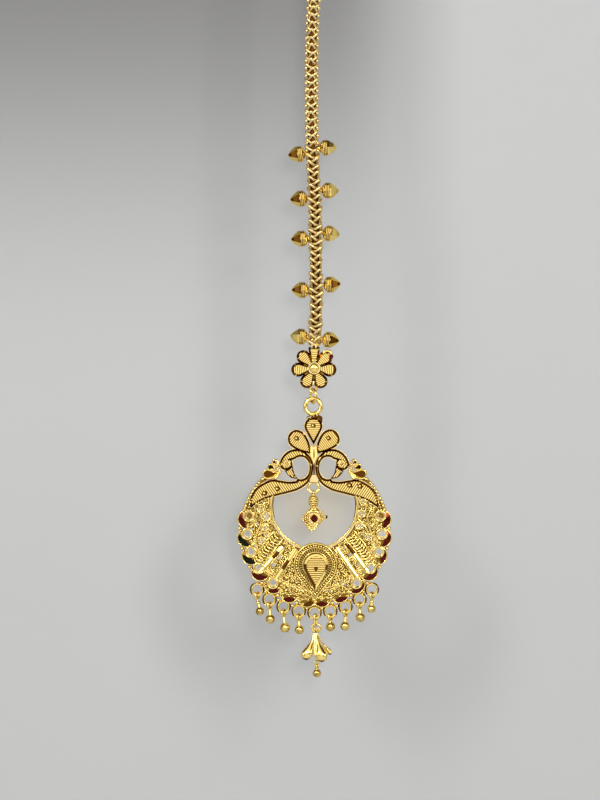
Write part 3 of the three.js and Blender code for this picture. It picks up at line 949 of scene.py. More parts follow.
class TIKKA_OT_flower(Operator):
    """Cut and engrave the seven-petalled flower, with its domed middle and the eye under it."""

    bl_idname = "tikka.flower"
    bl_label = "Flower"

    def execute(self, context):
        bevel = context.scene.tikka_plate.bevel / MM
        x, z = FLOWER_CENTRE
        bench = Bench()
        # A dark disc under the petals, painted shade.
        plate(bench, circle(x, z, 2.2, 36), FLOWER_FRONT + 0.25, FLOWER_BACK, "bed_gold")
        plate(bench, circle(x, z, 2.3, 36), FLOWER_BACK - 0.03, FLOWER_BACK + 0.01, "satin_gold")
        engraving = {"pitch": 0.36, "keep_out": [(x, z, 1.35)], "height": 0.07}
        for i, (direction, reach, r) in enumerate(PETALS):
            cx, cz = polar(x, z, reach - r, direction)
            tip = polar(x, z, -0.6, direction)
            front = FLOWER_FRONT - 0.02 * (i % 3)
            petal = teardrop(cx, cz, r, *tip)
            engraved_plate(bench, petal, front, FLOWER_BACK, bevel, direction + 90, 13, **engraving)
        top = [(-0.62, 0.9), (0.62, 0.9), (0.95, 2.6), (1.2, 4.15)]
        top += [(0.85, 4.3), (-0.85, 4.3), (-1.2, 4.12), (-0.95, 2.6)]
        top = [(x + dx, z + dz) for dx, dz in top]
        engraved_plate(bench, top, FLOWER_FRONT - 0.05, FLOWER_BACK, bevel * 0.8, 0, 5, **engraving)
        ball(bench, x, FLOWER_FRONT + 0.05, z, 1.0, 28, 14, flat=0.6)
        wire(bench, raised(circle(x, z, 1.12, 28), FLOWER_FRONT - 0.12), 0.13, "filigree_gold", closed=True)
        wire(bench, raised(arc(x, z + 1.22, 0.55, 30, 150, 8), FLOWER_FRONT - 0.2), 0.1)
        curl_x, curl_z = polar(x, z, 3.75, 46)
        wire(bench, raised(arc(curl_x, curl_z, 0.8, 160, 10, 12), FLOWER_FRONT - 0.28), 0.3, sides=10)
        # A small cap painted dark as a reflection.
        cap = teardrop(*polar(x, z, 4.15, 35), 0.42, *polar(x, z, 3.2, 22))
        plate(bench, cap, FLOWER_FRONT - 0.22, FLOWER_FRONT + 0.1, "maroon_cut")
        loop = arc(x - 0.1, z + 4.25, 0.42, -30, 210, 12)
        wire(bench, raised(loop, FLOWER_FRONT - 0.1), 0.16, "chain_gold")
        ring(bench, EYE_X, EYE_Z, EYE_R, EYE_WIRE)
        stalk = [(EYE_X, -0.25, EYE_Z + EYE_R - 0.1), (EYE_X + 0.1, -0.3, z - 2.6)]
        wire(bench, stalk, 0.34, "filigree_gold")
        bench.hand_over("engraved_flower", "chain_assembly", "engraved_gold", "flower")
        return {"FINISHED"}


TOP_RING_X, TOP_RING_Z, TOP_RING_R, TOP_RING_WIRE = -0.28, 24.74, 1.55, 0.45
LINK_HALF, LINK_WIRE, LINK_TURN, LINK_SLACK = 1.1, 0.262, 118, 0.138


class TIKKA_OT_link(Operator):
    """Bend the upright wire link between the flower's eye and the pendant's ring."""

    bl_idname = "tikka.link"
    bl_label = "Link"

    def execute(self, context):
        bench = Bench()
        top = EYE_Z - EYE_R + EYE_WIRE + LINK_WIRE + LINK_SLACK
        low = PLATE_CENTRE[2] + TOP_RING_Z + TOP_RING_R - TOP_RING_WIRE - LINK_WIRE - LINK_SLACK
        straight = top - low - 2 * LINK_HALF
        middle = (top + low) / 2
        ring(bench, EYE_X, middle, LINK_HALF, LINK_WIRE, LINK_TURN, straight, steps=40, sides=12)
        bench.hand_over("turned_link", "link", "plain_gold_wire", "pendant_link")
        return {"FINISHED"}


# ---- Pendant: crest, birds and combs ----

CREST_FRONT, CREST_BACK = -0.9, 0.42
SIDE_PETAL_FRONT = -0.82
BIRD_FRONT, BIRD_BACK = -0.85, 0.38
# Direction of the lines engraved on each bird, in degrees.
BIRD_LINES = {-1: 124, 1: 56}


class TIKKA_OT_crest(Operator):
    """Cut the three crest petals and the wedge under them, and solder the hanging ring on top."""

    bl_idname = "tikka.crest"
    bl_label = "Crest"

    def execute(self, context):
        bevel = context.scene.tikka_plate.bevel / MM
        bench = Bench(PLATE_CENTRE)
        ring(bench, TOP_RING_X, TOP_RING_Z, TOP_RING_R, TOP_RING_WIRE, steps=44, sides=16)
        left = [(-0.72, 15.2), (-0.7, 16.2), (-1.15, 17.9), (-2.15, 19.5), (-3.6, 20.1), (-4.85, 19.55),
                (-5.4, 18.35), (-5.05, 17.05), (-4.0, 16.2), (-2.3, 15.5), (-0.72, 15.2)]
        right = [(0.45, 15.25), (2.0, 15.55), (3.85, 16.35), (4.8, 17.15), (5.08, 18.35), (4.4, 19.7),
                 (3.05, 20.22), (1.6, 19.5), (0.68, 17.9), (0.25, 16.3), (0.45, 15.25)]
        petals = [
            (teardrop(-0.22, 20.75, 1.84, -0.18, 16.9, 30), CREST_FRONT, 0, (-0.3, 20.88)),
            (catmull(left, 4)[:-1], SIDE_PETAL_FRONT, 52, (-3.62, 18.36)),
            (catmull(right, 4)[:-1], SIDE_PETAL_FRONT, 128, (2.75, 18.4)),
        ]
        for outline, front, lines, (gx, gz) in petals:
            engraving = {"pitch": 0.37, "keep_out": [(gx, gz, 0.46)]}
            engraved_plate(bench, outline, front, CREST_BACK, bevel, lines, 23, 0.11, **engraving)
            eyed_grain(bench, gx, gz, front - 0.04, 0.3)
        # The seat, slit, feet and spine are dark plates, painted shade.
        seat = [(-1.75, 21.6), (-1.6, 22.5), (-1.3, 22.85), (-0.7, 22.6), (-0.35, 23.05), (0.6, 23.1),
                (1.3, 22.85), (1.62, 22.5), (1.5, 21.3), (0.9, 22.25), (0.1, 22.42), (-0.7, 22.35),
                (-1.3, 21.95)]
        plate(bench, seat, -0.98, 0.35, "umber_cut", edge_finish="bright_gold")
        wire(bench, raised(arc(0.15, 22.95, 0.36, -20, 220, 12), -1.0), 0.13)
        fold = catmull([(-1.65, 21.9), (-1.3, 22.5), (-0.7, 22.4)], 5)
        wire(bench, raised(fold, -1.0), 0.09, "filigree_gold")
        wedge = [(-0.85, 16.9), (-0.5, 16.9), (-0.18, 16.6), (0.1, 16.9), (0.4, 16.9), (0.75, 14.9),
                 (0.45, 14.3), (-0.12, 12.9), (-0.65, 14.3), (-1.0, 14.9)]
        cut_plate(bench, wedge, -0.62, 0.4, 0.1, "satin_gold", "filigree_gold")
        slit = [(-0.05, 16.2), (0.02, 15.2), (-0.02, 14.5), (-0.12, 14.0), (-0.2, 14.5), (-0.22, 15.2),
                (-0.17, 16.2)]
        plate(bench, slit, -0.66, -0.5, "umber_cut")
        for side in SIDES:
            foot = [(-0.1 + side * 0.5, 15.5), (-0.1 + side * 1.3, 15.6), (-0.1 + side * 1.25, 15.4)]
            plate(bench, foot, -0.68, -0.4, "umber_cut")
        spine = [(-0.24, 13.6), (0.04, 13.6), (0.04, 10.9), (-0.24, 10.9)]
        plate(bench, spine, -0.5, 0.36, "umber_cut")
        join = [(-0.55, 11.2), (0.4, 11.2), (1.0, 10.0), (0.75, 9.45), (-0.9, 9.45), (-1.15, 10.0)]
        cut_plate(bench, join, -0.6, 0.36, 0.14, "filigree_gold", "bright_gold")
        bench.hand_over("crest", "pendant_assembly", "engraved_gold")
        return {"FINISHED"}


def bird_outline():
    """The left peacock: neck arched from a curled head, breast, tail along the shoulder, and back."""
    neck = oval(-3.68, 12.5, 3.48, 3.74, 178, -14, 34)
    breast = [(-0.2, 11.4), (-0.75, 10.2), (-1.6, 9.04), (-3.5, 7.88), (-6.32, 7.12), (-9.5, 6.25),
              (-11.4, 5.3), (-12.7, 4.35)]
    tail = [(-12.95, 4.7), (-12.95, 6.0), (-12.55, 7.2), (-11.95, 8.15), (-10.78, 9.16), (-8.74, 10.12),
            (-6.9, 9.98), (-5.2, 9.72), (-3.7, 9.86)]
    opening = oval(-2.76, 12.4, 1.72, 2.2, -112, 128, 26)
    head = arc(-5.74, 13.3, 1.38, 28, -165, 18)
    return neck + catmull(breast, 5)[3:] + catmull(tail, 5) + opening + head


class TIKKA_OT_birds(Operator):
    """Engrave the two peacocks that face outward on the shoulders of the pendant."""

    bl_idname = "tikka.birds"
    bl_label = "Peacocks"

    def execute(self, context):
        bevel = context.scene.tikka_plate.bevel / MM
        body = bird_outline()
        beak = [(-4.38, 12.95), (-4.2, 11.9), (-3.95, 11.1), (-3.3, 10.2), (-4.6, 10.4), (-5.25, 10.9),
                (-5.95, 11.85), (-5.1, 12.3)]
        grains = {-1: [(-7.46, 8.28), (-10.02, 7.38)], 1: [(7.0, 8.98), (9.04, 8.78)]}
        for side in SIDES:
            bench = Bench(PLATE_CENTRE)
            outline, shape = (body, beak) if side < 0 else (mirrored(body), mirrored(beak))
            lines = BIRD_LINES[side]
            keep_out = [(x, z, 0.52) for x, z in grains[side]]
            engraved_plate(bench, outline, BIRD_FRONT, BIRD_BACK, bevel, lines, 61, 0.11, keep_out=keep_out)
            for x, z in grains[side]:
                eyed_grain(bench, x, z, BIRD_FRONT - 0.06, 0.31)
            engraved_plate(bench, shape, BIRD_FRONT + 0.1, BIRD_BACK - 0.05, 0.24, lines, pitch=0.34)
            self.volute(bench, MIRROR_X + side * 5.67, 13.28, side)
            bench.hand_over(f"peacock_{SIDE_NAMES[side]}", "pendant_assembly", "engraved_gold")
        return {"FINISHED"}

    def volute(self, bench, x, z, side):
        """The curled head: a raised, engraved round face with a fine curl around a domed eye."""
        x -= side * 0.2
        face, front = circle(x, z, 0.98, 22), BIRD_FRONT - 0.14
        engraving = {"pitch": 0.36, "keep_out": [(x, z, 0.2)]}
        engraved_plate(bench, face, front, BIRD_FRONT + 0.2, 0.16, BIRD_LINES[side], **engraving)
        turn = arc(x, z, 0.55, 90 - side * 110, 90 + side * 150, 10)
        wire(bench, raised(turn, BIRD_FRONT - 0.22), 0.09, "filigree_gold")
        ball(bench, x, BIRD_FRONT - 0.14, z, 0.18, 12, 7)


COMB_FRONT, COMB_BACK, COMB_WIRE_Y, COMB_GRAIN_Y = -0.86, 0.25, -0.62, -0.7
# The comb's dark cuts, painted dark reflections, left side: centre, radius, tip and finish. Then its wires:
# route and radius.
COMB_CUTS = [
    ((-8.1, 13.6), 0.34, (-7.5, 13.1), "green_cut"),
    ((-8.8, 12.6), 0.52, (-7.6, 12.3), "green_cut"),
    ((-9.4, 11.2), 0.84, (-7.2, 11.3), "umber_cut"),
]
COMB_WIRES = [
    ([(-8.4, 13.5), (-8.1, 14.0), (-7.7, 14.05), (-7.35, 13.6), (-7.0, 12.9)], 0.17),
    ([(-9.2, 12.5), (-9.0, 13.1), (-8.5, 13.15), (-7.9, 12.9), (-7.1, 12.5)], 0.17),
    ([(-10.2, 10.9), (-10.15, 11.7), (-9.5, 12.05), (-8.7, 11.85), (-7.9, 11.8), (-6.9, 12.1)], 0.2),
    ([(-8.75, 10.75), (-8.6, 11.2), (-8.75, 11.6)], 0.16),
    ([(-10.0, 10.5), (-9.2, 10.3), (-8.2, 10.55), (-7.3, 11.1), (-6.8, 11.7)], 0.24),
    ([(-8.6, 11.2), (-8.0, 11.15), (-7.3, 11.5)], 0.2),
    ([(-7.0, 11.9), (-7.3, 10.9), (-7.9, 10.3)], 0.26),
]
# Its grains: x, z and radius.
COMB_GRAINS = [(-7.75, 13.9, 0.27), (-7.35, 13.1, 0.26), (-7.35, 12.3, 0.28)]
COMB_GRAINS += [(-10.35, 10.25, 0.36), (-11.1, 9.5, 0.36)]
# The right comb's x is this less the left comb's.
COMB_SHIFT = 0.05


class TIKKA_OT_combs(Operator):
    """Fan the comb behind each head: dark polished cuts, painted as dark reflections, between bright wires,
    and grains.
    """

    bl_idname = "tikka.combs"
    bl_label = "Combs"

    def execute(self, context):
        for side in SIDES:
            bench = Bench(PLATE_CENTRE)

            def across(x):
                return x if side < 0 else COMB_SHIFT - x

            for (x, z), r, (tip_x, tip_z), finish in COMB_CUTS:
                cut = [(across(px), pz) for px, pz in teardrop(x, z, r, tip_x, tip_z, 16)]
                cut_plate(bench, cut, COMB_FRONT, COMB_BACK, 0.12, finish, "bright_gold")
            for points, r in COMB_WIRES:
                wire(bench, [(across(x), COMB_WIRE_Y, z) for x, z in catmull(points, 5)], r)
            for x, z, r in COMB_GRAINS:
                ball(bench, across(x), COMB_GRAIN_Y, z, r, 12, 7)
            bench.hand_over(f"comb_{SIDE_NAMES[side]}", "pendant_assembly", "filigree_gold")
        return {"FINISHED"}


def crescent(bench, x, z, r, towards, half, thickness, outer_y, inner_y, finish):
    """A crescent-shaped cut on a round edge, centred on a direction, as a closed wedge. Its top takes the
    finish, a painted dark reflection.
    """
    base_y, steps = -0.3, 14
    made = []
    for i in range(steps + 1):
        share = 2 * i / steps - 1
        angle = towards + half * share
        deep = thickness * max(1 - share * share, 0) ** 0.75 + 0.02
        ox, oz = polar(x, z, r, angle)
        ix, iz = polar(x, z, r - deep, angle)
        rise = outer_y + (inner_y - outer_y) * deep / thickness
        made += [(ox, base_y, oz), (ox, outer_y, oz), (ix, rise, iz), (ix, base_y, iz)]
    tops, rest = [], [(0, 1, 2, 3), tuple(steps * 4 + k for k in (3, 2, 1, 0))]
    for i in range(steps):
        a, b = i * 4, (i + 1) * 4
        tops.append((a + 1, b + 1, b + 2, a + 2))
        rest += [(a, b, b + 1, a + 1), (a + 2, b + 2, b + 3, a + 3), (a + 3, b + 3, b, a)]
    bench.add(made, tops, finish, smooth=False)
    bench.add(made, rest, "bright_gold", smooth=False)


# ---- Pendant: plate, dishes and filigree ----

VOID_X, VOID_Z, VOID_R = -0.06, 4.8, 8.3
BED_R, BED_FRONT, BED_BACK = 12.4, -0.34, 0.48
# Depths of the threads laid on the plate, and of the small curls and the scrolls on them.
THREAD_Y = -0.46
CURL_Y, SCROLL_Y = THREAD_Y - 0.06, THREAD_Y - 0.14
DISH_FIRST, DISH_STEP, DISHES_A_SIDE = 6.1, 15.5, 7
# The lowest dishes of each side have no opening of their own.
DISHES_CLOSED = 2
# The radius of an opening, and how far curls keep from its middle and from that of a dish without one.
DISH_EYE_R, EYE_CLEAR, MIDDLE_CLEAR = 0.78, 1.22, 0.82
DISH_ORBIT, DISH_R, DISH_LEAN = 13.6, 1.88, 3.0
EDGE_RING_STEP, EDGE_RING_ORBIT, EDGE_RING_R = 11, 16.52, 1.22
HORN_ANGLE = 30.5

# See-through openings in the bed: x, z, radius.
BED_OPENINGS = [
    (-9.65, 2.8, 0.75), (-10.57, 4.6, 0.5), (-10.57, -2.1, 0.62), (-9.5, -0.85, 0.42), (-9.9, 0.6, 0.55),
    (-6.44, -3.8, 0.5), (-7.05, -5.4, 0.55), (-8.15, -6.95, 0.48), (-11.45, 1.2, 0.36),
    (9.73, 5.6, 0.5), (9.42, 3.3, 0.62), (8.98, 0.97, 0.68), (10.8, -1.32, 0.6), (9.6, -0.6, 0.36),
    (7.3, -5.0, 0.46), (8.96, -6.98, 0.5), (6.05, -3.4, 0.42), (11.35, 1.0, 0.36),
]
# Bars: inner end, outer end, and stretches from the inner end as (share of the length, finish). The dark
# stretches are painted shade and dark reflection on the polished roof.
BAR_HALF, BAR_FRONT, BAR_BACK = 0.27, -0.86, 0.2
BARS = [
    ((-3.66, -3.8), (-7.9, -10.0), [(0.36, "bright_gold"), (0.28, "core_gold"), (0.36, "bright_gold")]),
    ((4.42, -3.6), (8.56, -9.4), [(0.12, "filigree_gold"), (0.33, "bright_gold"), (0.55, "bright_gold")]),
    ((-6.3, -3.35), (-11.1, -8.6), [(0.18, "bright_gold"), (0.24, "core_gold"), (0.58, "bright_gold")]),
    ((6.44, -2.8), (10.7, -8.4), [(0.34, "core_gold"), (0.66, "bright_gold")]),
]

# The middle of the coiled wire of the left side, from its inner end to its outer one.
SPRING = ((-7.2, -0.9), (-11.5, -6.6))


def dish_eye(side, i):
    """The middle of a dish's own little ring."""
    lean = DISH_LEAN if i > 2 else DISH_LEAN * 0.4
    return polar(0, 0, DISH_ORBIT - 0.12, -90 + side * (DISH_FIRST + i * DISH_STEP + lean))


def clear_of_eyes(side, x, z):
    """Whether a spot is off the dishes' little rings, and off the middles of the dishes without one."""
    away = [dist((x, z), dish_eye(side, i)) for i in range(DISHES_A_SIDE)]
    return min(away[:DISHES_CLOSED]) > MIDDLE_CLEAR and min(away[DISHES_CLOSED:]) > EYE_CLEAR


def on_crescent(side, x, z, beyond, clear):
    """Whether a spot is on the crescent, off the dishes' rings and clear of the opening."""
    return (
        hypot(x, z) < BED_R + beyond
        and clear_of_eyes(side, x, z)
        and hypot(x - VOID_X, z - VOID_Z) > VOID_R + clear
    )


def clear_of_holes(x, z, margin):
    return all(hypot(x - hole_x, z - hole_z) > r + margin for hole_x, hole_z, r in BED_OPENINGS)


def inside(outline, x, z):
    found = crossings(outline, Vector((x, z)), Vector((1, 0)))
    return sum(1 for along in found if along > 0) % 2 == 1


def boss_outline():
    return anticlockwise(teardrop(0.19, -6.9, 4.4, 0.16, -13.8, 48))


def side_of(start, end, x, z):
    """Signed distance of a point from a line, positive on its left."""
    a, b = Vector(start), Vector(end)
    along = (b - a).normalized()
    return along.x * (z - a.y) - along.y * (x - a.x)


class TIKKA_OT_bed(Operator):
    """Pierce the crescent plate under the filigree, and rim its opening."""

    bl_idname = "tikka.bed"
    bl_label = "Crescent plate"

    def execute(self, context):
        bench = Bench(PLATE_CENTRE)
        outline = arc(0, 0, BED_R, HORN_ANGLE, -180 - HORN_ANGLE, 90)
        outline += arc(VOID_X, VOID_Z, VOID_R, 160.3, 379.7, 70)
        holes = [circle(x, z, r, 14) for x, z, r in BED_OPENINGS]
        # The bed's front is dark, painted shade between the wires; its back is satin gold.
        plate(bench, outline, BED_FRONT, BED_BACK, "bed_gold", holes, edge_finish="filigree_gold")
        plate(bench, outline, BED_BACK - 0.02, BED_BACK + 0.02, "satin_gold", holes)
        for side in SIDES:
            start, end = 90 - side * 88, 90 - side * 43
            strip = arc(0, 0, 14.35, start, end, 20) + arc(0, 0, BED_R - 0.3, end, start, 20)
            plate(bench, strip, BED_FRONT + 0.02, BED_BACK - 0.12, "bed_gold")
            plate(bench, strip, BED_BACK - 0.14, BED_BACK - 0.02, "satin_gold")
            rim = arc(VOID_X, VOID_Z, VOID_R + 0.26, 90 - side * 110, 90 - side * 68, 18)
            wire(bench, raised(rim, -0.5), 0.24, sides=10)
            # A thin dark line inside the rim, painted shade.
            inner = arc(VOID_X, VOID_Z, VOID_R + 0.03, 90 - side * 106, 90 - side * 70, 18)
            wire(bench, raised(inner, -0.3), 0.16, "umber_cut", 6)
        shelf = arc(VOID_X, VOID_Z, VOID_R + 0.1, 163, 377, 60)
        shelf += arc(VOID_X, VOID_Z, VOID_R + 0.6, 377, 163, 60)
        plate(bench, shelf, THREAD_Y, BED_FRONT + 0.1, "filigree_gold", edge_finish="bright_gold")
        low_rim = arc(VOID_X, VOID_Z, VOID_R + 0.16, 200, 340, 50)
        wire(bench, raised(low_rim, -0.46), 0.17)
        hem = arc(0, 0, BED_R - 0.18, -HORN_ANGLE * 0.2, -180 + HORN_ANGLE * 0.2, 80)
        wire(bench, raised(hem, THREAD_Y), 0.15, "filigree_gold")
        for side in SIDES:
            hem = arc(0, 0, BED_R - 0.42, 90 - side * 128, 90 - side * 68, 50)
            wire(bench, raised(hem, THREAD_Y - 0.04), 0.17)
        hem = arc(0, 0, BED_R - 0.62, -38, -142, 60)
        wire(bench, raised(hem, THREAD_Y), 0.12, "filigree_gold")
        bench.hand_over("crescent_plate", "pendant_assembly", "filigree_gold", "pendant")
        return {"FINISHED"}


# Each dish's crescent cut, from the lowest dish up, left side then right: the direction of its middle and
# its half width in degrees, and its finish, a painted dark reflection.
DISH_CUTS = {
    -1: [(-72, 46, "umber_cut"), (-92, 52, "maroon_cut"), (-86, 42, "maroon_cut"), (-102, 68, "maroon_cut"),
         (-116, 68, "green_cut"), (-132, 72, "green_cut"), (-171, 76, "maroon_cut")],
    1: [(-88, 46, "maroon_cut"), (-76, 52, "maroon_cut"), (-58, 62, "maroon_cut"), (-58, 66, "maroon_cut"),
        (-24, 46, "maroon_cut"), (-24, 70, "maroon_cut"), (-14, 76, "maroon_cut")],
}
# Grains on the rim: orbit, depth and radius, and the flats around each and from pole to pole.
NOTCH_GRAINS = [(14.95, -0.18, 0.4, 12, 7), (13.9, -0.42, 0.3, 10, 6)]
LOWEST_GRAINS = [(14.85, -0.3, 0.36, 12, 7), (14.3, -0.5, 0.26, 10, 6)]
# Rows of grains up each horn: first and last direction and pitch in degrees, and the grain.
HORN_GRAINS = [(13.5, 47, 3.05, (14.6, -0.25, 0.4, 12, 7)), (14.5, 34, 2.3, (13.95, -0.5, 0.26, 12, 7))]


def rim_grains(bench, direction, grains):
    for orbit, y, r, around, rows in grains:
        ball(bench, *polar_y(0, 0, orbit, direction, y), r, around, rows)


class TIKKA_OT_dishes(Operator):
    """Set the round dishes along the edge, each with a crescent cut, and grains in the notches."""

    bl_idname = "tikka.dishes"
    bl_label = "Edge dishes"

    def execute(self, context):
        rng = random.Random(context.scene.tikka_plate.seed)
        bench = Bench(PLATE_CENTRE)
        for side in SIDES:
            for i in range(DISHES_A_SIDE):
                self.dish(bench, side, i, rng)
                if i:
                    between = -90 + side * (DISH_FIRST + (i - 0.5) * DISH_STEP)
                    rim_grains(bench, between, NOTCH_GRAINS)
        rim_grains(bench, -90, LOWEST_GRAINS)
        for side in SIDES:
            for first, last, pitch, grain in HORN_GRAINS:
                along = first
                while along < last:
                    rim_grains(bench, along if side > 0 else 180 - along, [grain])
                    along += pitch
        bench.hand_over("edge_dishes", "pendant_assembly", "filigree_gold")
        return {"FINISHED"}

    def dish(self, bench, side, i, rng):
        """One dish: disc, crescent cut, rim, its own little ring where it is open, and curls."""
        x, z = polar(0, 0, DISH_ORBIT, -90 + side * (DISH_FIRST + i * DISH_STEP))
        dx, dz = dish_eye(side, i)
        front = -0.44 - 0.02 * (i % 2)
        closed = i < DISHES_CLOSED
        holes = [] if closed else [circle(dx, dz, DISH_EYE_R, 14)]
        disc = circle(x, z, DISH_R, 32)
        # The dish's disc is dark, painted shade between its curls; its back is satin gold.
        plate(bench, disc, front, 0.3, "bed_gold", holes, edge_finish="bright_gold")
        plate(bench, disc, 0.25, 0.44, "satin_gold", holes, edge_finish="bright_gold")
        away = degrees(atan2(z - dz, x - dx))
        facing, reach, finish = DISH_CUTS[side][i]
        deep = 1.15 if closed else 1.35
        crescent(bench, x, z, DISH_R - 0.04, facing, reach, deep, front - 0.1, front - 0.46, finish)
        rim = arc(x, z, DISH_R - 0.02, facing - 98, facing + 98, 26)
        wire(bench, raised(rim, front - 0.04), 0.12)
        if not closed:
            rim = circle(dx, dz, DISH_EYE_R + 0.26, 22)
            wire(bench, raised(rim, front - 0.24), 0.2, closed=True)
            lining = raised(circle(dx, dz, DISH_EYE_R, 18), front - 0.1)
            wire(bench, lining, 0.1, "filigree_gold", 6, closed=True)
            lash = arc(dx, dz, DISH_EYE_R - 0.26, away - 150, away + 20, 8)
            wire(bench, raised(lash, front + 0.1), 0.12, "filigree_gold", 6)
        for orbit, count in ((1.55, 13), (1.0, 8), (0.45, 4)):
            for k in range(count):
                turn = k * 360 / count
                spot = polar(x, z, orbit, facing + turn)
                on_cut = orbit > 0.9 and min(turn, 360 - turn) < reach
                if not on_cut and (closed or dist(spot, (dx, dz)) > 1.2):
                    curl(bench, *spot, 0.28, rng.uniform(0, 360), 0.9, front - 0.1, 0.12, 10)
        ball(bench, *polar_y(dx, dz, 1.25, away + 180, front - 0.2), 0.26, 10, 6)


def fill_with_scrolls(bench, allowed, box, spacing, rng, y, radius, thickness):
    """Fine scrollwork over an area: small curls in staggered rows, each turned its own way."""
    x0, x1, z0, z1 = box
    row = 0
    z = z0
    while z < z1:
        x = x0 + (spacing / 2 if row % 2 else 0)
        while x < x1:
            px = x + rng.uniform(-0.16, 0.16) * spacing
            pz = z + rng.uniform(-0.16, 0.16) * spacing
            start, hand, size = rng.uniform(0, 360), rng.choice((-1, 1)), rng.uniform(0.8, 1.15)
            if allowed(px, pz):
                curl(bench, px, pz, radius * size, start, hand * 0.95, y, thickness, 11)
            x += spacing
        z += spacing * 0.87
        row += 1


class TIKKA_OT_filigree(Operator):
    """Lay the scrolls, springs, grains and fine curls of both sides of the crescent."""

    bl_idname = "tikka.filigree"
    bl_label = "Filigree"

    def execute(self, context):
        settings = context.scene.tikka_plate
        thread = settings.thread / MM
        rng = random.Random(settings.seed + 1)
        boss = boss_outline()
        for side in SIDES:
            bench = Bench(PLATE_CENTRE)
            inner_bar, outer_bar = (row[:2] for row in (BARS[::2] if side < 0 else BARS[1::2]))

            def across(x):
                return x if side < 0 else 2 * MIRROR_X - x

            def beside(line, x, z):
                return side * side_of(*line, x, z)

            def in_vermicelli(x, z):
                return (
                    on_crescent(side, x, z, 0.5, 0.7)
                    and beside(inner_bar, x, z) > 0.75
                    and x * side > -0.2
                    and not inside(boss, x * 0.97, z * 0.985)
                )

            def in_horn(x, z):
                return (
                    on_crescent(side, x, z, 0.1, 0.85)
                    and x * side > 0
                    and beside([(across(px), pz) for px, pz in SPRING], x, z) < -1.5
                    and z < 6.2
                    and clear_of_holes(x, z, 0.3)
                )

            def in_panel(x, z):
                return (
                    on_crescent(side, x, z, 0.2, 0.5)
                    and beside(inner_bar, x, z) < -0.5
                    and beside(outer_bar, x, z) > 0.5
                    and clear_of_holes(x, z, 0.12)
                )

            area = (-12.5, 0.5, -12.5, 7.0) if side < 0 else (-0.5, 12.5, -12.5, 7.0)
            fill_with_scrolls(bench, in_vermicelli, area, 0.7, rng, CURL_Y, 0.31, 0.098)
            fill_with_scrolls(bench, in_horn, area, 0.84, rng, CURL_Y, 0.4, 0.13)
            z = area[2]
            while z < area[3]:
                x = area[0]
                while x < area[1]:
                    px, pz = x + rng.uniform(-0.1, 0.1), z + rng.uniform(-0.1, 0.1)
                    if in_panel(px, pz):
                        ball(bench, px, CURL_Y, pz, 0.27, 9, 5)
                    if in_horn(px, pz) and rng.random() < 0.3:
                        ball(bench, px, THREAD_Y - 0.08, pz, 0.24, 9, 5)
                    x += 0.62
                z += 0.62
            self.scrolls(bench, side, across, thread)
            self.spring(bench, across)
            bench.hand_over(f"filigree_{SIDE_NAMES[side]}", "pendant_assembly", "filigree_gold")
        return {"FINISHED"}

    def scrolls(self, bench, side, across, thread):
        """The larger scrolls that frame the openings of one horn."""
        y = SCROLL_Y
        bold = thread * 1.35
        for x, z, r in BED_OPENINGS:
            if x * side > 0 and z > -2.5 and r > 0.4:
                wire(bench, raised(circle(x, z, r + 0.12, 20), y), bold * 0.85, closed=True)
        routes = [
            [(-10.75, -0.75), (-10.5, 0.25), (-9.96, 0.95), (-9.0, 1.45), (-8.2, 1.35)],
            [(-11.5, -0.8), (-11.15, 0.2), (-10.68, 1.4), (-10.72, 2.66), (-11.05, 3.6), (-11.6, 4.3)],
            [(-11.3, -1.0), (-10.5, -0.62), (-9.6, -0.4), (-8.9, -0.75), (-9.1, -1.6), (-9.7, -2.1)],
            [(-9.0, 5.6), (-9.8, 5.5), (-10.4, 4.9), (-10.3, 4.0), (-9.7, 3.8)],
            [(-12.0, 4.6), (-11.9, 3.4), (-12.3, 2.4), (-12.0, 1.4), (-11.5, 0.7)],
            [(-8.9, 3.9), (-8.7, 3.0), (-8.9, 2.2), (-9.4, 1.8)],
        ]
        for route in routes:
            path = [(across(x), y, z) for x, z in catmull(route, 6)]
            wire(bench, path, bold)

    def spring(self, bench, across):
        """A coiled wire laid in the channel outside the outer bar."""
        start, end = (Vector(p) for p in SPRING)
        along = end - start
        aside = Vector((-along.y, along.x)).normalized()
        onward = along.normalized()
        arcs = 11
        for i in range(arcs):
            middle = start + along * ((i + 0.3) / arcs)
            path = []
            for k in range(9):
                u = k / 4 - 1
                p = middle + aside * (0.98 * u) + onward * (0.5 * (1 - u * u))
                path.append((across(p.x), THREAD_Y - 0.02 - 0.26 * (1 - u * u), p.y))
            wire(bench, path, 0.165)
        for offset in (-1.2, 1.2):
            edge = [start + aside * offset, end + aside * offset]
            wire(bench, [(across(p.x), THREAD_Y - 0.1, p.y) for p in edge], 0.18, sides=6)


class TIKKA_OT_bars(Operator):
    """Solder the four roofed bars that fan out from the opening."""

    bl_idname = "tikka.bars"
    bl_label = "Bars"

    def execute(self, context):
        bench = Bench(PLATE_CENTRE)
        for start, end, finishes in BARS:
            bar(bench, start, end, BAR_HALF, BAR_FRONT, BAR_BACK, finishes)
            for offset in (-0.45, 0.45):
                a, b = Vector(start), Vector(end)
                aside = Vector((a.y - b.y, b.x - a.x)).normalized() * offset
                wire(bench, raised([a + aside, b + aside], -0.6), 0.14, sides=6)
        bench.hand_over("bars", "pendant_assembly", "polished_gold")
        return {"FINISHED"}


# The boss: depth of the tray under its spokes and of its engraved table, and the hollow in the table.
BOSS_TRAY_Y, BOSS_TABLE_Y = -0.92, -1.5
BOSS_EYE, BOSS_SPOKE_PITCH = (0.28, -7.64), 0.5
# Its wires: distance inside the outline, depth and radius.
BOSS_WIRES = [(0.2, -0.78, 0.17), (1.0, -0.9, 0.14), (1.9, -1.1, 0.14)]
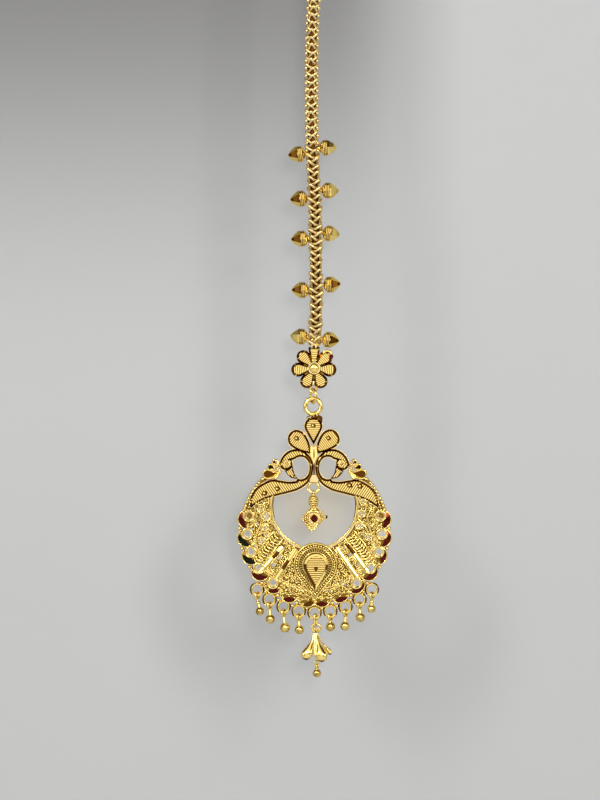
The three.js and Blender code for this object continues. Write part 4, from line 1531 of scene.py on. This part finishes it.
# Stretches of its polished bevel painted dark as reflection: side, least distance from the middle, and lowest
# and highest z.
BOSS_DARK = [(-1, 1.5, -8.9, -6.5), (1, 1.7, -8.1, -6.8), (1, 1.3, -9.6, -8.4)]


class TIKKA_OT_boss(Operator):
    """Build up the drop-shaped boss: rim, grains, spokes, polished bevel and engraved table."""

    bl_idname = "tikka.boss"
    bl_label = "Boss"

    def execute(self, context):
        bench = Bench(PLATE_CENTRE)
        outer = boss_outline()
        # The outer bevel is painted shadow where the boss meets the filigree, and its face is painted shade.
        cut_plate(bench, outer, -0.7, 0.2, 0.12, "bed_gold")
        grain_row(bench, closed_path(inset(outer, 0.62)), 0.52, 0.25, -0.84, 10)
        # The tray under the spokes is dark, painted shade.
        plate(bench, inset(outer, 1.06), BOSS_TRAY_Y, 0.1, "bed_gold", edge_finish="filigree_gold")
        self.spokes(bench, inset(outer, 1.14), inset(outer, 1.8))
        for inward, y, r in BOSS_WIRES:
            wire(bench, raised(inset(outer, inward), y), r, closed=True)
        low = anticlockwise(teardrop(0.3, -7.15, 2.4, 0.2, -11.9, 48))
        high = inset(low, 0.45)
        finishes = []
        for x, z in low:
            dark = any(x * side > reach and z0 < z < z1 for side, reach, z0, z1 in BOSS_DARK)
            finishes.append("umber_cut" if dark else "bright_gold")
        edge_round(bench, low, -0.9, BOSS_TABLE_Y + 0.03)
        facet_band(bench, low, high, BOSS_TABLE_Y + 0.03, BOSS_TABLE_Y, finishes)
        # The table's grooved floor is painted shade.
        close_flat(bench, high, BOSS_TABLE_Y, "groove_gold")
        table = inset(high, 0.04)
        hatch(bench, table, 0, BOSS_TABLE_Y, pitch=0.42, keep_out=[(*BOSS_EYE, 0.42)], height=0.08)
        hollow(bench, BOSS_EYE[0], BOSS_TABLE_Y - 0.02, BOSS_EYE[1], 0.36, 0.05)
        bench.hand_over("boss", "pendant_assembly", "engraved_gold")
        return {"FINISHED"}

    def spokes(self, bench, outer, inner):
        """Short ridges across the band between two outlines."""
        outer_path, inner_path = closed_path(outer), closed_path(inner)
        length = sum(dist(a, b) for a, b in zip(outer_path, outer_path[1:]))
        count = round(length / BOSS_SPOKE_PITCH)
        for i in range(count):
            a = along_path(outer_path, i / count)
            b = along_path(inner_path, i / count)
            if (b - a).length > 0.25:
                across = Vector((a.y - b.y, b.x - a.x)).normalized()
                ridge(bench, (a, b), across, BOSS_TRAY_Y, (0.2, 0.1), 0.24, "bright_gold")


def closed_path(outline):
    return list(outline) + [outline[0]]


def along_path(path, share):
    """The point at a share of a path's length."""
    lengths = [dist(a, b) for a, b in zip(path, path[1:])]
    left = share * sum(lengths)
    for a, b, length in zip(path, path[1:], lengths):
        if left <= length:
            return Vector(a).lerp(Vector(b), left / length)
        left -= length
    return Vector(path[-1])


# ---- Rings and drops ----


def edge_ring_centre(index):
    return polar(0, 0, EDGE_RING_ORBIT, -90 + index * EDGE_RING_STEP)


def bevelled_ring(bench, x, z):
    """A flat ring whose outer edge is cut to a bevel, dark at both sides as a painted dark reflection."""
    steps = 32
    rows = [(0.93, 0.2), (0.9, -0.05), (1.0, -0.28), (1.16, -0.3), (1.46, -0.08), (1.42, 0.2)]
    made = [polar_y(x, z, r, 360 * i / steps, y) for i in range(steps) for r, y in rows]
    count = len(rows)
    for i in range(steps):
        j = (i + 1) % steps
        angle = 360 * (i + 0.5) / steps
        dark_side = 148 < angle < 222 or angle < 24 or angle > 322
        for k in range(count):
            m = (k + 1) % count
            face = [made[p] for p in (i * count + k, i * count + m, j * count + m, j * count + k)]
            finish = "umber_cut" if k == 3 and dark_side else "bright_gold"
            bench.add(face, [(3, 2, 1, 0)], finish, smooth=False)


class TIKKA_OT_edge_rings(Operator):
    """Solder nine rings under the edge, and the small round ring that holds the diamond."""

    bl_idname = "tikka.edge_rings"
    bl_label = "Edge rings"

    def execute(self, context):
        bench = Bench(PLATE_CENTRE)
        for index in range(-4, 5):
            bevelled_ring(bench, *edge_ring_centre(index))
        for index in range(-4, 4):
            towards = -90 + (index + 0.5) * EDGE_RING_STEP
            ball(bench, *polar_y(0, 0, 15.75, towards, -0.1), 0.34, 10, 6)
        ring(bench, -0.16, 8.48, 1.07, 0.25, steps=28)
        for turn in (-40, 0, 40):
            path = []
            for i in range(9):
                across = -1 + i / 4
                x = -0.16 + across * 1.05 + turn * 0.004
                path.append((x, -0.12 - 0.1 * cos(across), 7.4 + 0.8 * across**2))
            wire(bench, path, 0.17)
        bench.hand_over("edge_rings", "pendant_assembly", "plain_gold_wire")
        return {"FINISHED"}


class TIKKA_OT_diamond(Operator):
    """Step up the diamond drop in rows of grain and wire to its middle facet, painted dark as a reflection.
    """

    bl_idname = "tikka.diamond"
    bl_label = "Diamond drop"

    def execute(self, context):
        bench = Bench(PLATE_CENTRE)
        ring(bench, -0.16, 7.36, 0.56, 0.17, turn=90)
        cap = [(0, 0.75), (0.5, 0.7), (0.86, 0.42), (0.92, 0.1)]
        cap += [(0.8, -0.12), (0.92, -0.3), (0.7, -0.62), (0, -0.95)]
        turned(bench, cap, (-0.22, 0, 6.2), (0, 0, 1), 20)
        wire(bench, level_circle(-0.22, 0, 6.1, 0.88, 16), 0.13, sides=6, closed=True)
        middle = Vector((-0.1, 2.35))
        corners = [(-0.2, 5.45), (-2.68, 2.32), (-0.6, -0.5), (2.4, 2.58)]
        plate(bench, corners, -0.1, 0.5, "filigree_gold", edge_finish="bright_gold")
        back = [tuple(middle + (Vector(c) - middle) * 0.55) for c in corners]
        plate(bench, back, 0.3, 0.75, "filigree_gold")
        self.rows(bench, corners)
        seat = [(0.0, 3.75), (-1.5, 2.3), (-0.15, 0.8), (1.3, 2.35)]
        plate(bench, seat, -0.55, 0.1, "filigree_gold", edge_finish="bright_gold")
        # The gem and the point beside it are painted dark reflections.
        gem = [(-0.08, 3.36), (-0.62, 2.98), (-0.98, 2.33), (-0.66, 1.66), (-0.08, 1.28), (0.52, 1.66),
               (0.84, 2.33), (0.5, 2.98)]
        cut_plate(bench, gem, -0.98, -0.4, 0.14, "maroon_cut", "bright_gold")
        wire(bench, raised(densified(gem, 3), -0.88), 0.09, sides=6, closed=True)
        point = [(2.28, 2.95), (2.6, 2.9), (2.56, 2.3), (2.2, 2.35)]
        plate(bench, point, -0.42, 0.25, "green_cut", edge_finish="bright_gold")
        for z, half in ((6.9, 0.5), (6.45, 0.8), (5.95, 0.95), (5.5, 0.95), (5.1, 0.85)):
            fold = [(-0.22 - half, -0.35, z - 0.12), (-0.22, -0.86, z + 0.1), (-0.22 + half, -0.35, z - 0.12)]
            wire(bench, catmull(fold, 5), 0.18)
        bench.hand_over("stepped_diamond", "pendant_assembly", "polished_gold", "diamond_drop")
        return {"FINISHED"}

    def rows(self, bench, corners):
        """Ridges stepped towards the middle: bowed above, beaded at the left, pointed elsewhere."""
        outline = anticlockwise(corners)
        for z in (5.05, 4.6, 4.15, 3.7):
            low, high = self.reach(outline, (0, z), (1, 0), 0.06)
            depth = -0.3 - 0.14 * (5.05 - z)
            ends, middle = depth + 0.15, ((low + high) / 2, depth - 0.12, z + 0.05)
            wire(bench, catmull([(low, ends, z - 0.2), middle, (high, ends, z - 0.2)], 6), 0.21)
        for z in (1.0, 0.55, 0.12):
            low, high = self.reach(outline, (0, z + 0.35), (1, 0), 0.08)
            depth = -0.3 - 0.16 * z
            ends, middle = depth + 0.1, (low + high) / 2
            point = [(middle - 0.05, depth, z - 0.2), (middle + 0.05, depth, z - 0.2)]
            wire(bench, [(low, ends, z + 0.35), *point, (high, ends, z + 0.35)], 0.19)
        for x in (-2.2, -1.78, -1.34):
            low, high = self.reach(outline, (x, 0), (0, 1), 0.15)
            low, high = max(low, 1.1), min(high, 3.5)
            if high > low:
                grain_row(bench, [(x, low), (x, high)], 0.45, 0.24, -0.42 - 0.25 * (x + 2.2), 9)
        for x in (1.25, 1.66, 2.05):
            low, high = self.reach(outline, (x, 0), (0, 1), 0.1)
            point = [(x - 0.12, -0.5, low), (x + 0.1, -0.45, (low + high) / 2), (x - 0.12, -0.5, high)]
            wire(bench, catmull(point, 5), 0.18)

    def reach(self, outline, base, along, margin):
        """Where a line enters and leaves an outline, less a margin at each end."""
        found = crossings(outline, Vector(base), Vector(along))
        return found[0] + margin, found[-1] - margin


def level_circle(x, y, z, r, steps):
    angles = [2 * pi * i / steps for i in range(steps)]
    return [(x + r * cos(angle), y + r * sin(angle), z) for angle in angles]


def densified(outline, pieces):
    """An outline with extra points on its straight sides, so that a wire along it keeps its corners."""
    made = []
    for i, a in enumerate(outline):
        a, b = Vector(a), Vector(outline[(i + 1) % len(outline)])
        for share in [0.04] + [k / pieces for k in range(1, pieces)] + [0.96]:
            made.append(tuple(a.lerp(b, share)))
    return made


# Ball drops: ring, lean, length and radius of the ball, as in the frame.
BALL_DROPS = [
    (-4, 0.55, 4.35, 0.85),
    (-3, 0.15, 3.95, 0.92),
    (-2, 0.3, 4.2, 0.98),
    (-1, 0.1, 3.7, 0.92),
    (1, 0.05, 3.1, 0.95),
    (2, -0.1, 3.9, 0.92),
    (3, 0.15, 3.6, 0.92),
    (4, -0.1, 3.85, 0.82),
]
# Radii along a drop's stem, from its loop to its ball.
STEM_RADII = [0.2, 0.19, 0.2, 0.23, 0.27, 0.32, 0.37, 0.42, 0.45]


class TIKKA_OT_ball_drops(Operator):
    """Hang the eight ball drops, each on a wire loop with a tapering stem."""

    bl_idname = "tikka.ball_drops"
    bl_label = "Ball drops"

    def execute(self, context):
        for i, (index, lean, length, r) in enumerate(BALL_DROPS, 1):
            bench = Bench(PLATE_CENTRE)
            x, z = edge_ring_centre(index)
            loop_z = z - EDGE_RING_R
            ring(bench, x, loop_z, 0.64, 0.25, turn=58, steps=24)
            top, low = Vector((x, 0, loop_z - 0.62)), Vector((x + lean, 0, z - length))
            stem = catmull([top, top.lerp(low, 0.3), low], 4)
            wire(bench, stem, STEM_RADII, sides=12)
            if abs(index) == 4:
                ball(bench, *top.lerp(low, 0.32), 0.42)
            ball(bench, *low, r, 28, 18, "drop_gold")
            bench.hand_over(f"ball_and_stem_{i}", "pendant_assembly", "polished_gold", f"ball_drop_{i}")
        return {"FINISHED"}


BELL_X = 0.34
# Petals of the bell: the route from the neck to the tip as (x, y, z), the half width of the spoon, the
# share of the route that is stem, and which way the hollow side faces (1 is backwards).
BELL_PETALS = [
    ([(0.0, -0.3, -20.35), (-0.6, -0.95, -22.4), (-1.38, -1.85, -24.3), (-1.64, -1.8, -25.85)], 1.12, 0.2, 1),
    ([(0.3, -0.3, -20.5), (0.75, -1.1, -22.6), (1.3, -2.1, -24.6), (1.42, -2.0, -26.25)], 1.14, 0.22, 1),
    ([(0.45, 0.0, -20.6), (1.35, 0.1, -22.3), (2.45, 0.15, -23.6), (3.15, 0.1, -25.0)], 0.6, 0.62, 1),
    ([(0.1, 0.3, -20.4), (-0.5, 1.1, -22.5), (-1.2, 2.0, -24.4), (-1.35, 1.85, -25.7)], 1.05, 0.25, -1),
    ([(0.4, 0.3, -20.4), (0.9, 1.1, -22.5), (1.6, 2.0, -24.2), (1.75, 1.85, -25.6)], 1.05, 0.25, -1),
]


class TIKKA_OT_bell(Operator):
    """Gather five spoon petals into the bell-shaped blossom and hang the last ball in it."""

    bl_idname = "tikka.bell"
    bl_label = "Bell drop"

    def execute(self, context):
        bench = Bench(PLATE_CENTRE)
        ring(bench, 0.15, -17.95, 0.55, 0.24, turn=72, straight=1.25, steps=28)
        bench.hand_over("bell_hanger", "pendant_assembly", "plain_gold_wire", "bell_link")
        bench = Bench(PLATE_CENTRE)
        ring(bench, BELL_X, -19.55, 0.84, 0.22, steps=28)
        for fold in (-0.3, 0.25):
            x = BELL_X + fold
            loop = [(x - 0.25, -0.15, -20.2), (x, -0.28, -19.6), (x + 0.28, -0.15, -20.25)]
            wire(bench, catmull(loop, 5), 0.15)
        for petal in BELL_PETALS:
            self.petal(bench, *petal)
        for direction in (-150, -90, -30, 30, 150):
            angle = radians(direction)
            path = [(BELL_X + r * cos(angle), r * sin(angle), z)
                    for r, z in ((0.16, -20.3), (0.3, -21.2), (0.42, -22.2))]
            wire(bench, path, [0.17, 0.15, 0.1])
        for x in (0.0, 0.3):
            strand = catmull([(x, -0.55, -20.3), (x + 0.02, -1.15, -22.6), (x + 0.12, -1.7, -25.2)], 5)
            wire(bench, strand, 0.15)
        stalk = [(BELL_X, 0, -20.4), (BELL_X + 0.05, 0, -24), (BELL_X + 0.1, 0, -26.3)]
        wire(bench, stalk, 0.17, "filigree_gold")
        ring(bench, BELL_X + 0.1, -26.75, 0.5, 0.16, turn=48, straight=0.5, steps=24)
        bench.hand_over("blossom_bell", "pendant_assembly", "polished_gold", "bell")
        bench = Bench(PLATE_CENTRE)
        x = BELL_X + 0.1
        ring(bench, x, -27.25, 0.43, 0.12, turn=90)
        collar = [(0, 0), (0.36, 0), (0.42, 0.12), (0.34, 0.3), (0, 0.3)]
        turned(bench, collar, (x, 0, -27.98), (0, 0, 1), 18)
        ball(bench, x + 0.03, 0, -28.62, 0.84, 28, 18, "drop_gold")
        bench.hand_over("bell_ball_drop", "pendant_assembly", "polished_gold", "bell_ball")
        return {"FINISHED"}

    def petal(self, bench, route, width, stem, hollow):
        """One spoon petal: a stem that opens to a cupped, rounded sheet with real thickness."""
        rows, columns, sheet = 20, 8, 0.14
        line = [Vector(p) for p in route]
        spans = len(line) - 1
        outer, inner = [], []
        for i in range(rows + 1):
            t = i / rows
            k = min(int(t * spans), spans - 1)
            middle = span_point(line, k, t * spans - k)
            opened = min(max((t - stem) / (0.74 - stem), 0), 1)
            half = 0.17 + (width - 0.17) * (3 * opened**2 - 2 * opened**3)
            if t > 0.74:
                half *= sqrt(max(1 - ((t - 0.74) / 0.26) ** 2, 0.008))
            for j in range(columns + 1):
                s = 2 * j / columns - 1
                deep = hollow * 0.42 * half * s * s
                p = Vector((middle.x + half * s, middle.y + deep, middle.z + 0.1 * half * s * s))
                outer.append(p)
                inner.append(p + Vector((0, hollow * sheet, 0)))
        wide, total = columns + 1, len(outer)
        faces, dark = [], []
        for i in range(rows):
            for j in range(columns):
                a = i * wide + j
                front = (a, a + 1, a + wide + 1, a + wide)
                back = (total + a, total + a + wide, total + a + wide + 1, total + a + 1)
                if hollow > 0:
                    front, back = front[::-1], back[::-1]
                (dark if i >= rows - 2 and j < columns - 1 else faces).append(front)
                faces.append(back)
        last = rows * wide
        edge = list(range(columns)) + list(range(columns, last + columns, wide))
        edge += list(range(last + columns, last, -1)) + list(range(last, 0, -wide))
        for a, b in zip(edge, edge[1:] + edge[:1]):
            faces.append((a, b, b + total, a + total) if hollow > 0 else (b, a, a + total, b + total))
        bench.add(outer + inner, faces, "bright_gold")
        # The front of each petal's tip is painted dark, as shade and dark reflection.
        bench.add(outer + inner, dark, "umber_cut")


# ---- Stage, panel and order of work ----

# The lamp that casts the shadow on the wall: its place from the camera in metres, and its diameter.
KEY_OFFSET, KEY_SIZE = (0.027, 0.0, 0.03), 0.042
# Softboxes: name, place from the middle of the view in metres, width, height and share of the power.
SOFTBOXES = [
    ("softbox_right", (0.18, -0.42, 0.13), 0.1, 0.14, 0.9),
    ("softbox_left", (-0.24, -0.42, 0.22), 0.1, 0.16, 1.0),
]
# The room: a direction, its full and faded half angles in degrees, and its colour. Later patches lie on top.
ROOM_DIM = (0.05, 0.041, 0.03)
ROOM_PATCHES = [
    ((0, -0.5, -1), 15, 60, (0.65, 0.64, 0.6)),
    ((-0.12, -1, 0.52), 15, 50, (1.42, 1.38, 1.26)),
    ((-0.87, -0.5, 0.12), 6, 20, (2.4, 2.36, 2.23)),
    ((0.87, -0.5, 0.15), 6, 20, (2.4, 2.36, 2.23)),
    ((0.55, -1, -0.5), 14, 27, (0.03, 0.022, 0.012)),
]
# The room where the camera sees past the paper.
ROOM_SEEN = (0.57, 0.58, 0.59, 1)
# The wall's tones in millimetres: a dim upper left, from clear to full; and gold light behind the pendant,
# as centre, outer and inner radius.
WALL_SHADE = {"X": (33.5, 1.4), "Z": (-124.7, -15.6)}
WALL_GLOW = ((0.1, 42, -136.7), 13.0, 4.0)
WALL_SHADED, WALL_WARMED = (0.163, 0.163, 0.163, 1), (0.385, 0.362, 0.325, 1)
# Paper: its tone, and the tints that it varies between.
WALL_TONE, FLOOR_TONE = 0.369, 0.8
PAPER_TINTS = ((1, 1.013, 1.036), (1.05, 1.066, 1.086))


class TIKKA_OT_stage(Operator):
    """Set up the camera, the pale wall and floor, and soft studio light."""

    bl_idname = "tikka.stage"
    bl_label = "Stage"

    def execute(self, context):
        settings = context.scene.tikka_stage
        centre = Vector((settings.centre_x, 0, settings.centre_z))
        lens = bpy.data.cameras.new("view")
        lens.sensor_fit = "VERTICAL"
        lens.sensor_height = 32
        lens.lens = lens.sensor_height * settings.distance / settings.view_height
        lens.clip_start = 0.01
        camera = bpy.data.objects.new("camera", lens)
        camera.location = centre - Vector((0, settings.distance, 0))
        camera.rotation_euler = (pi / 2, 0, 0)
        context.scene.collection.objects.link(camera)
        context.scene.camera = camera
        context.scene.view_settings.view_transform = "Standard"
        self.papers = bpy.data.collections.new("papers")
        context.scene.collection.children.link(self.papers)
        self.surfaces(settings)
        self.lights(settings, centre)
        self.sky(context)
        return {"FINISHED"}

    def surfaces(self, settings):
        """A wall behind, seen only from its front, and a floor below."""
        half, low, gap = 2.0, -settings.floor_drop, settings.wall_gap
        wall = [(-half, gap, low), (half, gap, low), (half, gap, half), (-half, gap, half)]
        floor = [(-half, -half, low), (half, -half, low), (half, half, low), (-half, half, low)]
        for name, corners, one_sided in (("wall", wall, True), ("floor", floor, False)):
            mesh = bpy.data.meshes.new(name)
            mesh.from_pydata(corners, [], [(0, 1, 2, 3)])
            mesh.materials.append(pale_paper(name, one_sided))
            surface = bpy.data.objects.new(name, mesh)
            self.papers.objects.link(surface)

    def lights(self, settings, centre):
        eye = centre - Vector((0, settings.distance, 0))
        key = self.lamp("key", eye + Vector(KEY_OFFSET), centre, settings.key, KEY_SIZE)
        key.light_linking.receiver_collection = self.papers
        for name, offset, width, height, share in SOFTBOXES:
            self.lamp(name, centre + Vector(offset), centre, settings.softbox * share, width, height)

    def lamp(self, name, place, centre, power, width, height=None):
        """An area lamp that faces the middle of the view: a disc, or a rectangle where it has a height."""
        light = bpy.data.lights.new(name, "AREA")
        light.shape = "RECTANGLE" if height else "DISK"
        light.size = width
        if height:
            light.size_y = height
        light.energy = power
        lamp = bpy.data.objects.new(name, light)
        lamp.location = place
        lamp.rotation_euler = (centre - lamp.location).to_track_quat("-Z", "Y").to_euler()
        bpy.context.scene.collection.objects.link(lamp)
        return lamp

    def sky(self, context):
        """Room light: patches of brightness, each around one direction, over a dim room."""
        world = bpy.data.worlds.new("room")
        world.use_nodes = True
        tree = world.node_tree
        tree.nodes.clear()
        place = add_node(tree, "TexCoord", -1300, 0)
        before = None
        for i, (direction, inner, outer, rgb) in enumerate(ROOM_PATCHES):
            level = -260 * i
            facing = add_node(
                tree, "VectorMath", -1050, level, {1: Vector(direction).normalized()}, operation="DOT_PRODUCT"
            )
            limits = {"From Min": cos(radians(outer)), "From Max": cos(radians(inner))}
            share = add_node(tree, "MapRange", -850, level, limits, interpolation_type="SMOOTHSTEP")
            colours = {"A": (*ROOM_DIM, 1), "B": (*rgb, 1)}
            patch = add_node(tree, "Mix", -600, level, colours, data_type="RGBA")
            connect(
                tree,
                (place, "Generated", facing, 0),
                (facing, "Value", share, "Value"),
                (share, "Result", patch, "Factor"),
            )
            if before:
                connect(tree, (before, "Result", patch, "A"))
            before = patch
        seen = add_node(tree, "LightPath", -300, 250)
        pick = add_node(tree, "Mix", 0, 100, {"B": ROOM_SEEN}, data_type="RGBA")
        glow = add_node(tree, "Background", 250, 0)
        out = add_node(tree, "OutputWorld", 450, 0)
        connect(
            tree,
            (seen, "Is Camera Ray", pick, "Factor"),
            (before, "Result", pick, "A"),
            (pick, "Result", glow, "Color"),
            (glow, "Background", out, "Surface"),
        )
        context.scene.world = world


def pale_paper(name, one_sided):
    """Pale grey paper. A one-sided sheet is clear from behind, and toned: see WALL_SHADE and WALL_GLOW."""
    material = bpy.data.materials.new(f"{name}_paper")
    material.use_nodes = True
    tree = material.node_tree
    shader = tree.nodes["Principled BSDF"]
    set_inputs(shader, {"Roughness": 0.9, "Specular IOR Level": 0.1})
    fibre = add_node(tree, "TexNoise", -1300, 0, {"Scale": 6})
    tone = WALL_TONE if one_sided else FLOOR_TONE
    low, high = ((*(tone * c for c in tint), 1) for tint in PAPER_TINTS)
    tint = add_node(tree, "Mix", -1000, 0, {"A": low, "B": high}, data_type="RGBA")
    connect(tree, (fibre, "Fac", tint, "Factor"), (tint, "Result", shader, "Base Color"))
    if one_sided:
        wall_tones(tree, tint, shader)
    return material


def wall_tones(tree, tint, shader):
    """Tones the wall's paper, and clears it from behind."""
    place = add_node(tree, "TexCoord", -1900, 300)
    split = add_node(tree, "SeparateXYZ", -1700, 500)
    shares = []
    for i, (axis, (clear, full)) in enumerate(WALL_SHADE.items()):
        limits = {"From Min": clear * MM, "From Max": full * MM}
        share = add_node(tree, "MapRange", -1500, 700 - 250 * i, limits, interpolation_type="SMOOTHSTEP")
        connect(tree, (split, axis, share, "Value"))
        shares.append(share)
    across, up = shares
    curve = add_node(tree, "Math", -1300, 450, {1: 1.6}, operation="POWER")
    both = add_node(tree, "Math", -1100, 550, operation="MULTIPLY")
    shade = add_node(tree, "Mix", -700, 300, {"B": WALL_SHADED}, data_type="RGBA")
    centre, outer, inner = WALL_GLOW
    away = add_node(tree, "VectorMath", -1500, 150, {1: [c * MM for c in centre]}, operation="DISTANCE")
    limits = {"From Min": outer * MM, "From Max": inner * MM}
    glow = add_node(tree, "MapRange", -1300, 150, limits, interpolation_type="SMOOTHSTEP")
    warm = add_node(tree, "Mix", -400, 300, {"B": WALL_WARMED}, data_type="RGBA")
    behind = add_node(tree, "NewGeometry", 0, 300)
    clear = add_node(tree, "BsdfTransparent", 0, -300)
    choose = add_node(tree, "MixShader", 300, 100)
    connect(
        tree,
        (place, "Object", split, "Vector"),
        (up, "Result", curve, 0),
        (across, "Result", both, 0),
        (curve, "Value", both, 1),
        (both, "Value", shade, "Factor"),
        (tint, "Result", shade, "A"),
        (place, "Object", away, 0),
        (away, "Value", glow, "Value"),
        (glow, "Result", warm, "Factor"),
        (shade, "Result", warm, "A"),
        (warm, "Result", shader, "Base Color"),
        (behind, "Backfacing", choose, "Fac"),
        (shader, "BSDF", choose, 1),
        (clear, "BSDF", choose, 2),
        (choose, "Shader", tree.nodes["Material Output"], "Surface"),
    )


class TIKKA_PT_workshop(Panel):
    """The workshop's settings and pieces, in the order of work."""

    bl_label = "Maang tikka"
    bl_idname = "TIKKA_PT_workshop"
    bl_space_type = "VIEW_3D"
    bl_region_type = "UI"
    bl_category = "Tikka"

    def draw(self, context):
        for label in SETTINGS:
            settings = getattr(context.scene, label)
            box = self.layout.box()
            box.label(text=label.removeprefix("tikka_").title())
            for name in settings.bl_rna.properties.keys():
                if name not in ("rna_type", "name"):
                    box.prop(settings, name)
        for operator in ORDER_OF_WORK:
            self.layout.operator(operator.bl_idname)


SETTINGS = {
    "tikka_metal": TikkaMetal,
    "tikka_chain": TikkaChain,
    "tikka_plate": TikkaPlate,
    "tikka_stage": TikkaStage,
}
ORDER_OF_WORK = [
    TIKKA_OT_stage,
    TIKKA_OT_finishes,
    TIKKA_OT_hook,
    TIKKA_OT_chain,
    TIKKA_OT_side_beads,
    TIKKA_OT_flower,
    TIKKA_OT_link,
    TIKKA_OT_bed,
    TIKKA_OT_crest,
    TIKKA_OT_birds,
    TIKKA_OT_combs,
    TIKKA_OT_dishes,
    TIKKA_OT_filigree,
    TIKKA_OT_bars,
    TIKKA_OT_boss,
    TIKKA_OT_edge_rings,
    TIKKA_OT_diamond,
    TIKKA_OT_ball_drops,
    TIKKA_OT_bell,
]


def register():
    for settings in SETTINGS.values():
        bpy.utils.register_class(settings)
    for name, settings in SETTINGS.items():
        setattr(bpy.types.Scene, name, PointerProperty(type=settings))
    for operator in ORDER_OF_WORK:
        bpy.utils.register_class(operator)
    bpy.utils.register_class(TIKKA_PT_workshop)


def unregister():
    bpy.utils.unregister_class(TIKKA_PT_workshop)
    for operator in reversed(ORDER_OF_WORK):
        bpy.utils.unregister_class(operator)
    for name, settings in SETTINGS.items():
        delattr(bpy.types.Scene, name)
        bpy.utils.unregister_class(settings)


def main():
    register()
    for operator in ORDER_OF_WORK:
        group, name = operator.bl_idname.split(".")
        getattr(getattr(bpy.ops, group), name)()


if __name__ == "__main__":
    main()
